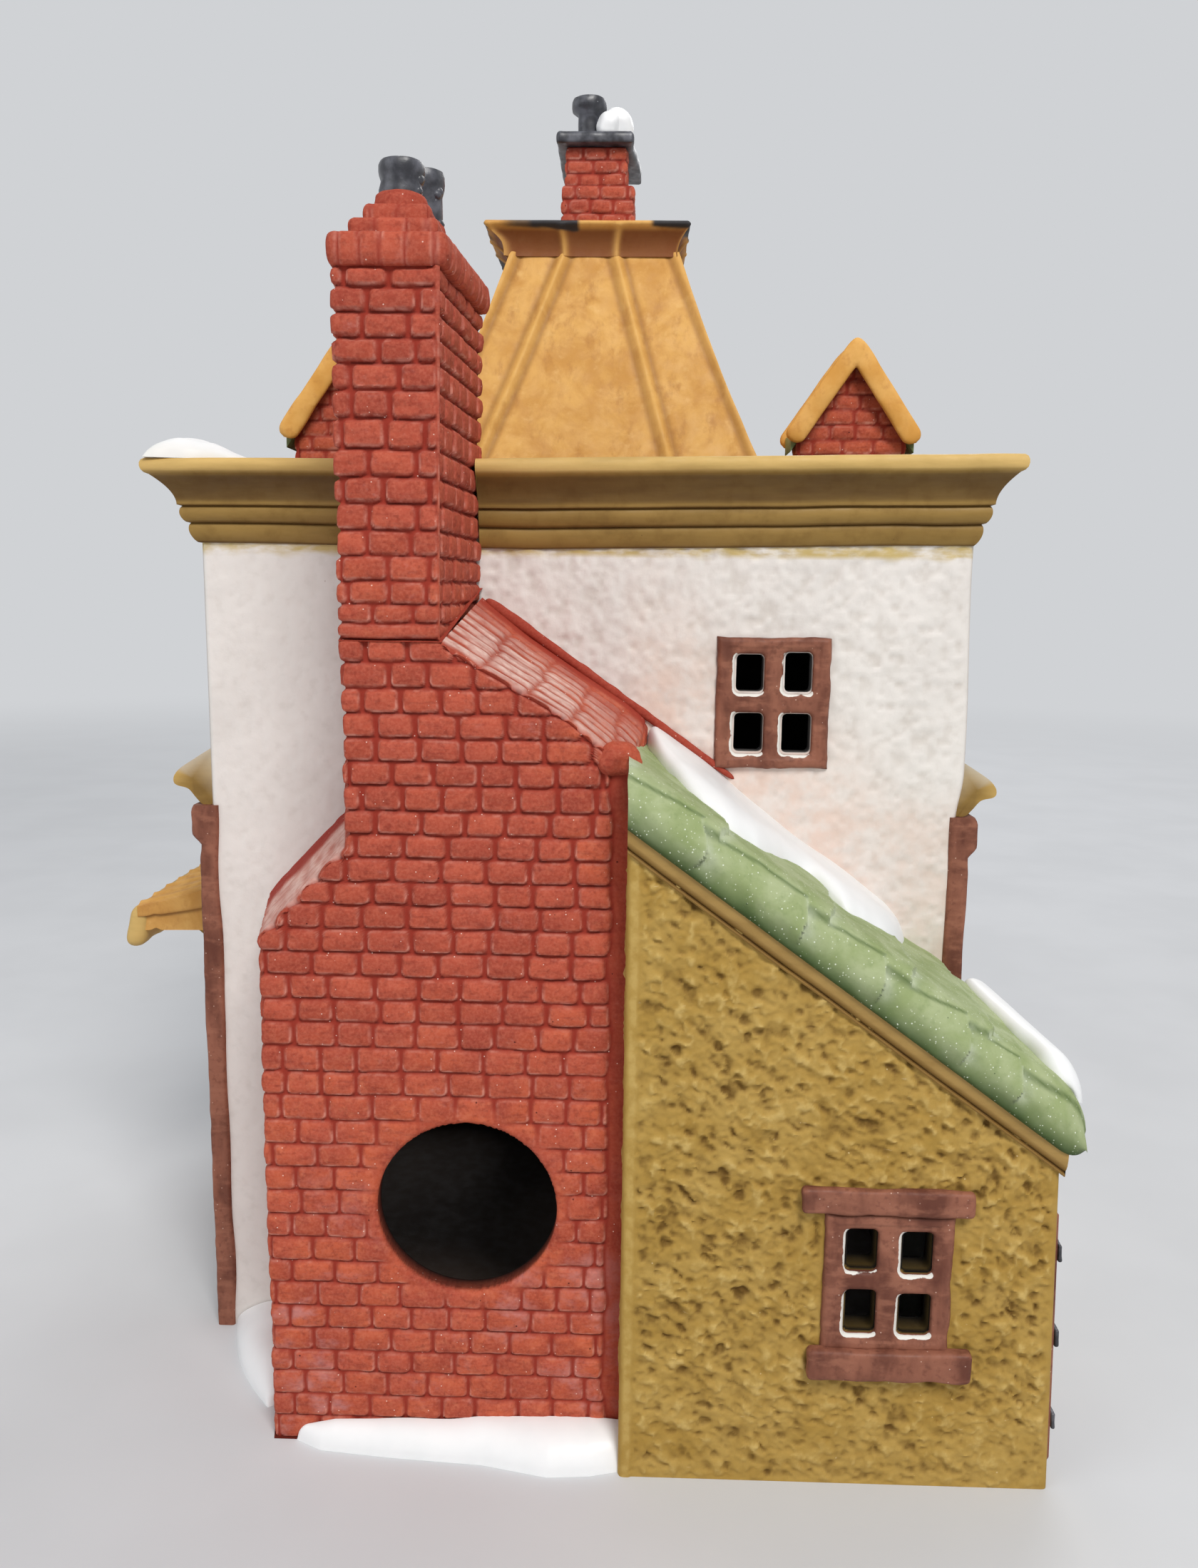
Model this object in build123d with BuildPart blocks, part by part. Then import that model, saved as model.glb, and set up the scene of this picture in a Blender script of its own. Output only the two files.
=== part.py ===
from build123d import *
import os
from math import hypot

# Lit porcelain village house. Millimetres, +Z up, ground at z = 0.
# The rear face, with the lamp hole, looks towards -Y and the shop front towards +Y.
# The origin is under the middle of the main block.

# Main block
house_width = 137.0
house_depth = 100.0
wall_thickness = 4.0
floor_thickness = 3.0
vent_radius = 6.0
vent_offset = 24.0
eaves_height = 152.5
cornice_height = 14.9
cornice_projection = 6.9
cornice_out_shares = (0, 0.05, 0.20, 0.21, 0.29, 0.38, 0.41, 0.52, 0.84, 1, 1, 0)
cornice_up_shares = (0, 0, 0.20, 0.235, 0.25, 0.41, 0.45, 0.60, 0.79, 0.83, 1, 1)
deck_thickness = 4.5

# String course with corner posts below it
string_drop = 47.5
string_height = 10.5
string_projection = 8.2
string_out_shares = (0, 0.30, 0.62, 1, 1, 0.80, 0)
string_up_shares = (0, 0, 0.30, 0.36, 0.52, 0.66, 1)
post_projection = 2.7
post_width = 6.5
corbel_projection = 4.2
corbel_height = 7.0

# Chimney breast
breast_depth = 32.0
breast_width_share = 0.4307
breast_inset = 17.9
seam_drop = 15.7
seam_gap = 0.3
left_shoulder_drop = 32.8
left_shoulder_height = 15.7
left_shoulder_width = 14.6
right_shoulder_height = 20.2
draft_width = 7.7
draft_height = 8.4
lamp_hole_radius = 15.0
lamp_hole_height = 43.2
lamp_hole_share = 0.5678

# Upper stack
stack_inset = 14.2
stack_width = 16.0
stack_spread_width = 2.4
stack_height_over_roof = 24.3
stack_wall_thickness = 3.0
cap_height = 4.8
cap_projection = 0.7
crown_step_height = 2.5
crown_inset = 1.6
pot_radius = 3.2
pot_bore_radius = 2.1
pot_height = 6.9
pot_inset = 8.5
pot_spacing = 13.0

# Mansard roof and what stands on it
mansard_inset = 34.5
mansard_depth = 60.0
mansard_height = 45.0
mansard_top_width = 33.0
mansard_top_depth = 28.0
mansard_offset = 4.0
mansard_wall_thickness = 3.5
curb_height = 5.6
curb_projection = 3.4
top_base_width = 14.8
top_base_depth = 25.0
top_base_height = 8.2
top_shaft_inset = 1.6
top_shaft_height = 7.8
top_cap_projection = 0.3
top_cap_height = 2.4
top_pot_radius = 2.6
top_pot_bore_radius = 1.6
top_pot_height = 8.5
top_pot_offset = 2.0
top_pot_inset = 7.0
top_snow_radius = 3.6
top_snow_height = 7.2
top_snow_top_share = 0.5

# Gablets beside the mansard
gable_inset = 14.7
gable_width = 28.4
gable_body_width = 22.0
gable_foot_height = 8.4
gable_rise_height = 20.8
gable_depth = 6.0
gable_setback = 54.0
gable_roof_thickness = 2.5
gable_overhang_depth = 1.5
board_width = 4.0
board_thickness = 1.8

# Lean-to
leanto_step_depth = 6.4
leanto_overhang_width = 10.9
leanto_gap = 0.3
verge_drop = 5.9
leanto_low_share = 0.534
passage_width_share = 0.669
passage_drop = 3.1
roof_rise_height = 9.0
roof_verge_depth = 2.4
roof_eave_width = 2.0
moulding_height = 3.0
moulding_projection = 1.5
leanto_snow_inset = 6.0
leanto_snow_width_share = 0.594
leanto_snow_height = 3.6
leanto_snow_depth = 30.0
eave_snow_width_share = 0.11
eave_snow_depth = 36.0
eave_snow_height = 3.2
eave_snow_inset = 0.6

# Small windows
pane_width = 5.5
pane_height = 7.5
pane_spacing_width = 8.7
pane_spacing_height = 10.6
pane_columns = 2
pane_rows = 2
frame_width = 20.4
frame_height = 23.6
frame_thickness = 1.2
rear_window_inset = 34.1
rear_window_drop = 27.2
leanto_window_inset = 28.1
leanto_window_share = 0.616
lintel_width = 27.5
lintel_height = 4.4
lintel_thickness = 2.0
sill_width = 26.6
sill_height = 5.0
sill_thickness = 2.6
side_window_offset = 8.0
sill_clearance = 2.4
front_window_inset = 42.5

# Side door of the lean-to
leanto_door_width = 24.0
leanto_door_drop = 12.1
leanto_door_thickness = 1.2
leanto_door_inset = 3.0
hinge_length = 18.0
hinge_height = 3.4
hinge_thickness = 0.8
hinge_spacing_share = 0.34

# Door with a hood on the left wall
hood_inset = 24.0
hood_length = 38.0
hood_projection = 25.0
hood_drop = 15.0
hood_fall_height = 11.0
hood_under_fall_height = 0.4
hood_thickness = 16.0
gutter_thickness = 2.0
gutter_height = 3.8
bracket_thickness = 3.0
bracket_width = 15.0
bracket_height = 18.0
bracket_inset = 4.0
side_door_width = 20.0
side_door_share = 0.64
door_thickness = 1.2
side_step_depth = 8.0
step_height = 3.0
step_margin = 3.0

# Shop front
shop_window_place_share = 0.584
shop_window_width_share = 0.3066
shop_window_middle_share = 0.514
shop_window_height_share = 0.63
shop_pane_width_share = 0.2476
shop_pane_height_share = 0.197
shop_spacing_width_share = 0.3095
shop_spacing_height_share = 0.236
shop_columns = 3
shop_rows = 4
front_door_width = 22.0
front_door_share = 0.63
front_step_depth = 6.0

# Snow
drift_depth = 7.6
drift_height = 6.0
drift_inset = 4.4
corner_drift_depth_share = 0.75
corner_drift_height = 6.0
corner_drift_inset = 1.0
ledge_snow_width = 16.0
ledge_snow_depth = 9.0
ledge_snow_height = 4.4
ledge_snow_inset = 1.4

# Derived positions
half_width = house_width / 2
half_depth = house_depth / 2
rear_y = -half_depth
front_y = half_depth
roof_level = eaves_height + cornice_height
wall_top = roof_level - deck_thickness
string_bottom = eaves_height - string_drop
string_top = string_bottom + string_height
upper_window_z = string_top + sill_clearance + frame_height / 2
front_window_x = half_width - front_window_inset
breast_front = rear_y - breast_depth
breast_left_x = -half_width + breast_inset
breast_width = house_width * breast_width_share
breast_right_x = breast_left_x + breast_width
seam_height = eaves_height - seam_drop
left_shoulder_high = seam_height - left_shoulder_drop
left_shoulder_low = left_shoulder_high - left_shoulder_height
right_shoulder_low = seam_height - right_shoulder_height
lamp_hole_x = breast_left_x + breast_width * lamp_hole_share
cavity_left_x = breast_left_x + wall_thickness
cavity_right_x = breast_right_x - wall_thickness
cavity_top = left_shoulder_low - wall_thickness
stack_left_x = breast_left_x + stack_inset
stack_right_x = stack_left_x + stack_width
stack_bottom = seam_height + seam_gap
stack_top = roof_level + stack_height_over_roof
pot_x = (stack_left_x + stack_right_x + crown_inset) / 2
cap_top = stack_top + cap_height
crown_top = cap_top + 2 * crown_step_height
leanto_front = breast_front - leanto_step_depth
leanto_left_x = breast_right_x + leanto_gap
leanto_right_x = half_width + leanto_overhang_width
leanto_width = leanto_right_x - leanto_left_x
leanto_depth = rear_y - leanto_front
verge_high = right_shoulder_low - verge_drop
verge_low = verge_high * leanto_low_share
verge_slope = (verge_high - verge_low) / leanto_width
roof_top_high = verge_high + roof_rise_height
eave_low = verge_low - verge_slope * roof_eave_width
passage_x = (leanto_left_x + half_width) / 2
passage_width = (half_width - leanto_left_x) * passage_width_share
passage_height = verge_low - passage_drop - floor_thickness
rear_window_x = half_width - rear_window_inset
rear_window_z = eaves_height - rear_window_drop
leanto_window_x = leanto_right_x - leanto_window_inset
leanto_window_z = verge_low * leanto_window_share
leanto_door_height = verge_low - leanto_door_drop - floor_thickness
leanto_door_y = leanto_front + leanto_door_inset + leanto_door_width / 2
hinge_spacing = leanto_door_height * hinge_spacing_share
mansard_width = house_width - 2 * mansard_inset
mansard_top = roof_level + mansard_height
curb_top = mansard_top + curb_height
top_base_top = curb_top + top_base_height
top_shaft_top = top_base_top + top_shaft_height
top_cap_top = top_shaft_top + top_cap_height
top_pot_y = mansard_offset - top_base_depth / 2 + top_pot_inset
top_snow_x = -top_pot_offset + top_pot_radius + top_snow_radius
gable_x = half_width - gable_inset
gable_half_width = gable_width / 2
gable_body_half_width = gable_body_width / 2
gable_front_y = front_y - gable_setback
gable_rear_y = gable_front_y - gable_depth
gable_slope = gable_rise_height / gable_half_width
gable_stretch = hypot(gable_rise_height, gable_half_width) / gable_half_width
gable_apex = roof_level + gable_foot_height + gable_rise_height
gable_eave = gable_apex - gable_rise_height
gable_under = gable_apex - gable_roof_thickness * gable_stretch
board_under = gable_apex - board_width * gable_stretch
hood_high = string_bottom - hood_drop
hood_under = hood_high - hood_thickness
hood_rear_y = rear_y + hood_inset
hood_y = hood_rear_y + hood_length / 2
hood_outer_x = -half_width - hood_projection
hood_outer_high = hood_high - hood_fall_height
hood_outer_under = hood_under - hood_under_fall_height
bracket_tip = hood_under - hood_under_fall_height * bracket_width / hood_projection
side_door_height = hood_under * side_door_share
shop_window_x = half_width * shop_window_place_share
shop_window_width = house_width * shop_window_width_share
shop_pane_width = shop_window_width * shop_pane_width_share
shop_spacing_width = shop_window_width * shop_spacing_width_share
shop_window_z = string_bottom * shop_window_middle_share
shop_window_height = string_bottom * shop_window_height_share
shop_pane_height = shop_window_height * shop_pane_height_share
shop_spacing_height = shop_window_height * shop_spacing_height_share
front_door_height = string_bottom * front_door_share
corner_drift_depth = breast_depth * corner_drift_depth_share
corner_drift_x = breast_left_x - draft_width * (1 - corner_drift_depth_share)

os.makedirs("parts", exist_ok=True)

# Upper stack: a tapered flue that widens towards the house
with BuildPart() as chimney_stack:
    with BuildSketch(Plane.XY.offset(stack_bottom)):
        with BuildLine():
            Polyline(
                (stack_left_x, breast_front),
                (stack_right_x, breast_front),
                (stack_right_x + stack_spread_width, rear_y),
                (stack_left_x - stack_spread_width, rear_y),
                close=True,
            )
        make_face()
    extrude(amount=stack_top - stack_bottom)
    with BuildSketch(Plane.XY.offset(stack_bottom)):
        with BuildLine():
            Polyline(
                (stack_left_x + stack_wall_thickness, breast_front + stack_wall_thickness),
                (stack_right_x - stack_wall_thickness, breast_front + stack_wall_thickness),
                (stack_right_x - stack_wall_thickness, rear_y - stack_wall_thickness),
                (stack_left_x + stack_wall_thickness, rear_y - stack_wall_thickness),
                close=True,
            )
        make_face()
    extrude(amount=stack_top - stack_bottom, mode=Mode.SUBTRACT)
chimney_stack.part.label = "chimney_stack"
export_step(chimney_stack.part, "parts/chimney_stack.step")

# The same flue as a full block, to clear a seat for it in its neighbours
with BuildPart() as stack_seat:
    with BuildSketch(Plane.XY.offset(stack_bottom - seam_gap)):
        with BuildLine():
            Polyline(
                (stack_left_x, breast_front),
                (stack_right_x, breast_front),
                (stack_right_x + stack_spread_width, rear_y),
                (stack_left_x - stack_spread_width, rear_y),
                close=True,
            )
        make_face()
    extrude(amount=stack_top - stack_bottom + seam_gap)

# Walls of the main block: front and rear walls run the full width, side walls fit between them
with BuildPart() as rear_wall:
    with BuildSketch(Plane.XZ.offset(-rear_y)):
        with Locations((0, wall_top / 2)):
            Rectangle(house_width, wall_top)
        # Openings behind the breast and into the lean-to
        with Locations(((cavity_left_x + cavity_right_x) / 2, (floor_thickness + cavity_top) / 2)):
            Rectangle(cavity_right_x - cavity_left_x, cavity_top - floor_thickness, mode=Mode.SUBTRACT)
        with Locations((passage_x, floor_thickness + passage_height / 2)):
            Rectangle(passage_width, passage_height, mode=Mode.SUBTRACT)
        with Locations((rear_window_x, rear_window_z)):
            with GridLocations(pane_spacing_width, pane_spacing_height, pane_columns, pane_rows):
                Rectangle(pane_width, pane_height, mode=Mode.SUBTRACT)
    extrude(amount=-wall_thickness)
rear_wall.part.label = "rear_wall"
export_step(rear_wall.part, "parts/rear_wall.step")

with BuildPart() as front_wall:
    with BuildSketch(Plane.XZ.offset(-front_y)):
        with Locations((0, wall_top / 2)):
            Rectangle(house_width, wall_top)
        with Locations((-front_window_x, upper_window_z), (front_window_x, upper_window_z)):
            with GridLocations(pane_spacing_width, pane_spacing_height, pane_columns, pane_rows):
                Rectangle(pane_width, pane_height, mode=Mode.SUBTRACT)
        with Locations((-shop_window_x, shop_window_z), (shop_window_x, shop_window_z)):
            with GridLocations(shop_spacing_width, shop_spacing_height, shop_columns, shop_rows):
                Rectangle(shop_pane_width, shop_pane_height, mode=Mode.SUBTRACT)
    extrude(amount=wall_thickness)
front_wall.part.label = "front_wall"
export_step(front_wall.part, "parts/front_wall.step")

with BuildPart() as right_wall:
    with BuildSketch(Plane.YZ.offset(half_width)):
        with Locations((0, wall_top / 2)):
            Rectangle(house_depth - 2 * wall_thickness, wall_top)
        with Locations((side_window_offset, upper_window_z)):
            with GridLocations(pane_spacing_width, pane_spacing_height, pane_columns, pane_rows):
                Rectangle(pane_width, pane_height, mode=Mode.SUBTRACT)
    extrude(amount=-wall_thickness)
right_wall.part.label = "right_wall"
export_step(right_wall.part, "parts/right_wall.step")

with BuildPart() as left_wall:
    mirror(right_wall.part, about=Plane.YZ)
left_wall.part.label = "left_wall"
export_step(left_wall.part, "parts/left_wall.step")

# Floor inside the walls, with a vent
with BuildPart() as base_plate:
    with BuildSketch(Plane.XY):
        Rectangle(house_width - 2 * wall_thickness, house_depth - 2 * wall_thickness)
        with Locations((0, vent_offset)):
            Circle(vent_radius, mode=Mode.SUBTRACT)
    extrude(amount=floor_thickness)
base_plate.part.label = "base_plate"
export_step(base_plate.part, "parts/base_plate.step")

# Flat deck behind the cornice
with BuildPart() as roof_deck:
    with BuildSketch(Plane.XY.offset(wall_top)):
        Rectangle(house_width, house_depth)
    extrude(amount=deck_thickness)
roof_deck.part.label = "roof_deck"
export_step(roof_deck.part, "parts/roof_deck.step")

# Cornice: two beads, a cove and a top band, running round all four walls
with BuildPart() as cornice:
    with BuildLine(Plane.XY.offset(eaves_height)) as cornice_path:
        Polyline(
            (0, rear_y),
            (half_width, rear_y),
            (half_width, front_y),
            (-half_width, front_y),
            (-half_width, rear_y),
            close=True,
        )
    with BuildSketch(Plane((0, rear_y, eaves_height), x_dir=(0, -1, 0), z_dir=(-1, 0, 0))):
        with BuildLine():
            Polyline(
                [
                    (cornice_projection * out, cornice_height * up)
                    for out, up in zip(cornice_out_shares, cornice_up_shares)
                ],
                close=True,
            )
        make_face()
    sweep(path=cornice_path.wire(), transition=Transition.RIGHT)
    add(stack_seat.part, mode=Mode.SUBTRACT)
cornice.part.label = "cornice"
export_step(cornice.part, "parts/cornice.step")

# String course round the left, front and right walls
with BuildPart() as string_course:
    with BuildLine(Plane.XY.offset(string_bottom)) as string_path:
        Polyline(
            (half_width, rear_y),
            (half_width, front_y),
            (-half_width, front_y),
            (-half_width, rear_y),
        )
    with BuildSketch(Plane((half_width, rear_y, string_bottom), x_dir=(1, 0, 0), z_dir=(0, -1, 0))):
        with BuildLine():
            Polyline(
                [
                    (string_projection * out, string_height * up)
                    for out, up in zip(string_out_shares, string_up_shares)
                ],
                close=True,
            )
        make_face()
    sweep(path=string_path.wire(), transition=Transition.RIGHT)
string_course.part.label = "string_course"
export_step(string_course.part, "parts/string_course.step")

# Corner posts with a corbel head under the string course
with BuildPart() as post_rear_right:
    with BuildSketch(Plane.XZ.offset(half_depth)):
        with BuildLine():
            Polyline(
                (half_width, 0),
                (half_width + post_projection, 0),
                (half_width + post_projection, string_bottom - corbel_height),
                (half_width + corbel_projection, string_bottom - corbel_height / 2),
                (half_width + corbel_projection, string_bottom),
                (half_width, string_bottom),
                close=True,
            )
        make_face()
    extrude(amount=-post_width)
post_rear_right.part.label = "post_rear_right"
export_step(post_rear_right.part, "parts/post_rear_right.step")

with BuildPart() as post_rear_left:
    mirror(post_rear_right.part, about=Plane.YZ)
post_rear_left.part.label = "post_rear_left"
export_step(post_rear_left.part, "parts/post_rear_left.step")

with BuildPart() as post_front_right:
    mirror(post_rear_right.part, about=Plane.XZ)
post_front_right.part.label = "post_front_right"
export_step(post_front_right.part, "parts/post_front_right.step")

with BuildPart() as post_front_left:
    mirror(post_front_right.part, about=Plane.YZ)
post_front_left.part.label = "post_front_left"
export_step(post_front_left.part, "parts/post_front_left.step")

# Chimney breast: a hollow casting that spreads towards the wall, with the lamp hole in its face
with BuildPart() as chimney_breast:
    with BuildSketch(Plane.XZ.offset(-breast_front)):
        with BuildLine():
            Polyline(
                (breast_left_x, 0),
                (breast_right_x, 0),
                (breast_right_x, right_shoulder_low),
                (stack_right_x, seam_height),
                (stack_left_x, seam_height),
                (breast_left_x + left_shoulder_width, left_shoulder_high),
                (breast_left_x, left_shoulder_low),
                close=True,
            )
        make_face()
    with BuildSketch(Plane.XZ.offset(-rear_y)):
        with BuildLine():
            Polyline(
                (breast_left_x - draft_width, 0),
                (breast_right_x, 0),
                (breast_right_x, right_shoulder_low + draft_height),
                (stack_right_x + stack_spread_width, seam_height + draft_height),
                (stack_left_x - stack_spread_width, seam_height + draft_height),
                (breast_left_x + left_shoulder_width - draft_width, left_shoulder_high),
                (breast_left_x - draft_width, left_shoulder_low),
                close=True,
            )
        make_face()
    loft(ruled=True)
    add(stack_seat.part, mode=Mode.SUBTRACT)
    # Hollow behind the face, open to the house
    with BuildSketch(Plane.XZ.offset(-breast_front - wall_thickness)):
        with BuildLine():
            Polyline(
                (cavity_left_x, floor_thickness),
                (cavity_right_x, floor_thickness),
                (cavity_right_x, cavity_top),
                (stack_right_x - stack_wall_thickness, seam_height),
                (stack_left_x + stack_wall_thickness, seam_height),
                (stack_left_x + stack_wall_thickness, cavity_top),
                (cavity_left_x, cavity_top),
                close=True,
            )
        make_face()
    extrude(amount=-(breast_depth - wall_thickness), mode=Mode.SUBTRACT)
    with BuildSketch(Plane.XZ.offset(-breast_front)):
        with Locations((lamp_hole_x, lamp_hole_height)):
            Circle(lamp_hole_radius)
    extrude(amount=-wall_thickness, mode=Mode.SUBTRACT)
chimney_breast.part.label = "chimney_breast"
export_step(chimney_breast.part, "parts/chimney_breast.step")

# Corbelled cap of the stack
with BuildPart() as chimney_cap:
    with BuildSketch(Plane.XY.offset(stack_top)):
        with BuildLine():
            Polyline(
                (stack_left_x - cap_projection, breast_front - cap_projection),
                (stack_right_x + cap_projection, breast_front - cap_projection),
                (stack_right_x + stack_spread_width + cap_projection, rear_y + cap_projection),
                (stack_left_x - stack_spread_width - cap_projection, rear_y + cap_projection),
                close=True,
            )
        make_face()
    extrude(amount=cap_height)
chimney_cap.part.label = "chimney_cap"
export_step(chimney_cap.part, "parts/chimney_cap.step")

# Stepped crown that beds the pots
with BuildPart() as chimney_crown:
    with BuildSketch(Plane.XY.offset(cap_top)):
        with BuildLine():
            Polyline(
                (stack_left_x + crown_inset, breast_front + crown_inset),
                (stack_right_x, breast_front + crown_inset),
                (stack_right_x, rear_y - crown_inset),
                (stack_left_x + crown_inset, rear_y - crown_inset),
                close=True,
            )
        make_face()
    extrude(amount=crown_step_height)
    with BuildSketch(Plane.XY.offset(cap_top + crown_step_height)):
        with BuildLine():
            Polyline(
                (stack_left_x + 2 * crown_inset, breast_front + 2 * crown_inset),
                (stack_right_x - crown_inset, breast_front + 2 * crown_inset),
                (stack_right_x - crown_inset, rear_y - 2 * crown_inset),
                (stack_left_x + 2 * crown_inset, rear_y - 2 * crown_inset),
                close=True,
            )
        make_face()
    extrude(amount=crown_step_height)
chimney_crown.part.label = "chimney_crown"
export_step(chimney_crown.part, "parts/chimney_crown.step")

# Two chimney pots
with BuildPart() as chimney_pot_near:
    with BuildSketch(Plane.XY.offset(crown_top)):
        with Locations((pot_x, breast_front + pot_inset)):
            Circle(pot_radius)
            Circle(pot_bore_radius, mode=Mode.SUBTRACT)
    extrude(amount=pot_height)
chimney_pot_near.part.label = "chimney_pot_near"
export_step(chimney_pot_near.part, "parts/chimney_pot_near.step")

with BuildPart() as chimney_pot_far:
    with BuildSketch(Plane.XY.offset(crown_top)):
        with Locations((pot_x, breast_front + pot_inset + pot_spacing)):
            Circle(pot_radius)
            Circle(pot_bore_radius, mode=Mode.SUBTRACT)
    extrude(amount=pot_height)
chimney_pot_far.part.label = "chimney_pot_far"
export_step(chimney_pot_far.part, "parts/chimney_pot_far.step")

# Mansard: a hollow frustum open to the deck
with BuildPart() as mansard_roof:
    with BuildSketch(Plane.XY.offset(roof_level)):
        with Locations((0, mansard_offset)):
            Rectangle(mansard_width, mansard_depth)
    with BuildSketch(Plane.XY.offset(mansard_top)):
        with Locations((0, mansard_offset)):
            Rectangle(mansard_top_width, mansard_top_depth)
    loft(ruled=True)
    with BuildSketch(Plane.XY.offset(roof_level)):
        with Locations((0, mansard_offset)):
            Rectangle(
                mansard_width - 2 * mansard_wall_thickness,
                mansard_depth - 2 * mansard_wall_thickness,
            )
    with BuildSketch(Plane.XY.offset(mansard_top - mansard_wall_thickness)):
        with Locations((0, mansard_offset)):
            Rectangle(
                mansard_top_width - 2 * mansard_wall_thickness,
                mansard_top_depth - 2 * mansard_wall_thickness,
            )
    loft(ruled=True, mode=Mode.SUBTRACT)
mansard_roof.part.label = "mansard_roof"
export_step(mansard_roof.part, "parts/mansard_roof.step")

# Flared curb round the flat top
with BuildPart() as roof_curb:
    with BuildSketch(Plane.XY.offset(mansard_top)):
        with Locations((0, mansard_offset)):
            Rectangle(mansard_top_width, mansard_top_depth)
    with BuildSketch(Plane.XY.offset(curb_top)):
        with Locations((0, mansard_offset)):
            Rectangle(mansard_top_width + 2 * curb_projection, mansard_top_depth + 2 * curb_projection)
    loft(ruled=True)
roof_curb.part.label = "roof_curb"
export_step(roof_curb.part, "parts/roof_curb.step")

# Ridge chimney: a wide foot and a narrower shaft
with BuildPart() as top_chimney:
    with BuildSketch(Plane.XY.offset(curb_top)):
        with Locations((0, mansard_offset)):
            Rectangle(top_base_width, top_base_depth)
    extrude(amount=top_base_height)
    with BuildSketch(Plane.XY.offset(top_base_top)):
        with Locations((0, mansard_offset)):
            Rectangle(top_base_width - 2 * top_shaft_inset, top_base_depth - 2 * top_shaft_inset)
    extrude(amount=top_shaft_height)
top_chimney.part.label = "top_chimney"
export_step(top_chimney.part, "parts/top_chimney.step")

with BuildPart() as top_chimney_cap:
    with BuildSketch(Plane.XY.offset(top_shaft_top)):
        with Locations((0, mansard_offset)):
            Rectangle(
                top_base_width + 2 * top_cap_projection,
                top_base_depth + 2 * top_cap_projection,
            )
    extrude(amount=top_cap_height)
top_chimney_cap.part.label = "top_chimney_cap"
export_step(top_chimney_cap.part, "parts/top_chimney_cap.step")

with BuildPart() as top_pot:
    with BuildSketch(Plane.XY.offset(top_cap_top)):
        with Locations((-top_pot_offset, top_pot_y)):
            Circle(top_pot_radius)
            Circle(top_pot_bore_radius, mode=Mode.SUBTRACT)
    extrude(amount=top_pot_height)
top_pot.part.label = "top_pot"
export_step(top_pot.part, "parts/top_pot.step")

with BuildPart() as top_pot_snow:
    with BuildSketch(Plane.XY.offset(top_cap_top)):
        with Locations((top_snow_x, top_pot_y)):
            Circle(top_snow_radius)
    with BuildSketch(Plane.XY.offset(top_cap_top + top_snow_height)):
        with Locations((top_snow_x, top_pot_y)):
            Circle(top_snow_radius * top_snow_top_share)
    loft()
top_pot_snow.part.label = "top_pot_snow"
export_step(top_pot_snow.part, "parts/top_pot_snow.step")

# Right gablet: brick body, roof and bargeboards at both ends
with BuildPart() as gable_body_right:
    with BuildSketch(Plane.XZ.offset(-gable_rear_y)):
        with BuildLine():
            Polyline(
                (gable_x - gable_body_half_width, roof_level),
                (gable_x + gable_body_half_width, roof_level),
                (gable_x + gable_body_half_width, gable_under - gable_slope * gable_body_half_width),
                (gable_x, gable_under),
                (gable_x - gable_body_half_width, gable_under - gable_slope * gable_body_half_width),
                close=True,
            )
        make_face()
    extrude(amount=-gable_depth)
gable_body_right.part.label = "gable_body_right"
export_step(gable_body_right.part, "parts/gable_body_right.step")

with BuildPart() as gable_roof_right:
    with BuildSketch(Plane.XZ.offset(-gable_rear_y + gable_overhang_depth)):
        with BuildLine():
            Polyline(
                (gable_x - gable_half_width, gable_eave),
                (gable_x, gable_apex),
                (gable_x + gable_half_width, gable_eave),
                (gable_x + gable_half_width, gable_under - gable_rise_height),
                (gable_x, gable_under),
                (gable_x - gable_half_width, gable_under - gable_rise_height),
                close=True,
            )
        make_face()
    extrude(amount=-(gable_depth + 2 * gable_overhang_depth))
gable_roof_right.part.label = "gable_roof_right"
export_step(gable_roof_right.part, "parts/gable_roof_right.step")

with BuildPart() as bargeboard_rear_right:
    with BuildSketch(Plane.XZ.offset(-gable_rear_y + gable_overhang_depth)):
        with BuildLine():
            Polyline(
                (gable_x - gable_half_width, gable_eave),
                (gable_x, gable_apex),
                (gable_x + gable_half_width, gable_eave),
                (gable_x + gable_half_width, board_under - gable_rise_height),
                (gable_x, board_under),
                (gable_x - gable_half_width, board_under - gable_rise_height),
                close=True,
            )
        make_face()
    extrude(amount=board_thickness)
bargeboard_rear_right.part.label = "bargeboard_rear_right"
export_step(bargeboard_rear_right.part, "parts/bargeboard_rear_right.step")

with BuildPart() as bargeboard_front_right:
    with BuildSketch(Plane.XZ.offset(-gable_front_y - gable_overhang_depth)):
        with BuildLine():
            Polyline(
                (gable_x - gable_half_width, gable_eave),
                (gable_x, gable_apex),
                (gable_x + gable_half_width, gable_eave),
                (gable_x + gable_half_width, board_under - gable_rise_height),
                (gable_x, board_under),
                (gable_x - gable_half_width, board_under - gable_rise_height),
                close=True,
            )
        make_face()
    extrude(amount=-board_thickness)
bargeboard_front_right.part.label = "bargeboard_front_right"
export_step(bargeboard_front_right.part, "parts/bargeboard_front_right.step")

# Left gablet, the mirror image
with BuildPart() as gable_body_left:
    mirror(gable_body_right.part, about=Plane.YZ)
gable_body_left.part.label = "gable_body_left"
export_step(gable_body_left.part, "parts/gable_body_left.step")

with BuildPart() as gable_roof_left:
    mirror(gable_roof_right.part, about=Plane.YZ)
gable_roof_left.part.label = "gable_roof_left"
export_step(gable_roof_left.part, "parts/gable_roof_left.step")

with BuildPart() as bargeboard_rear_left:
    mirror(bargeboard_rear_right.part, about=Plane.YZ)
bargeboard_rear_left.part.label = "bargeboard_rear_left"
export_step(bargeboard_rear_left.part, "parts/bargeboard_rear_left.step")

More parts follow.
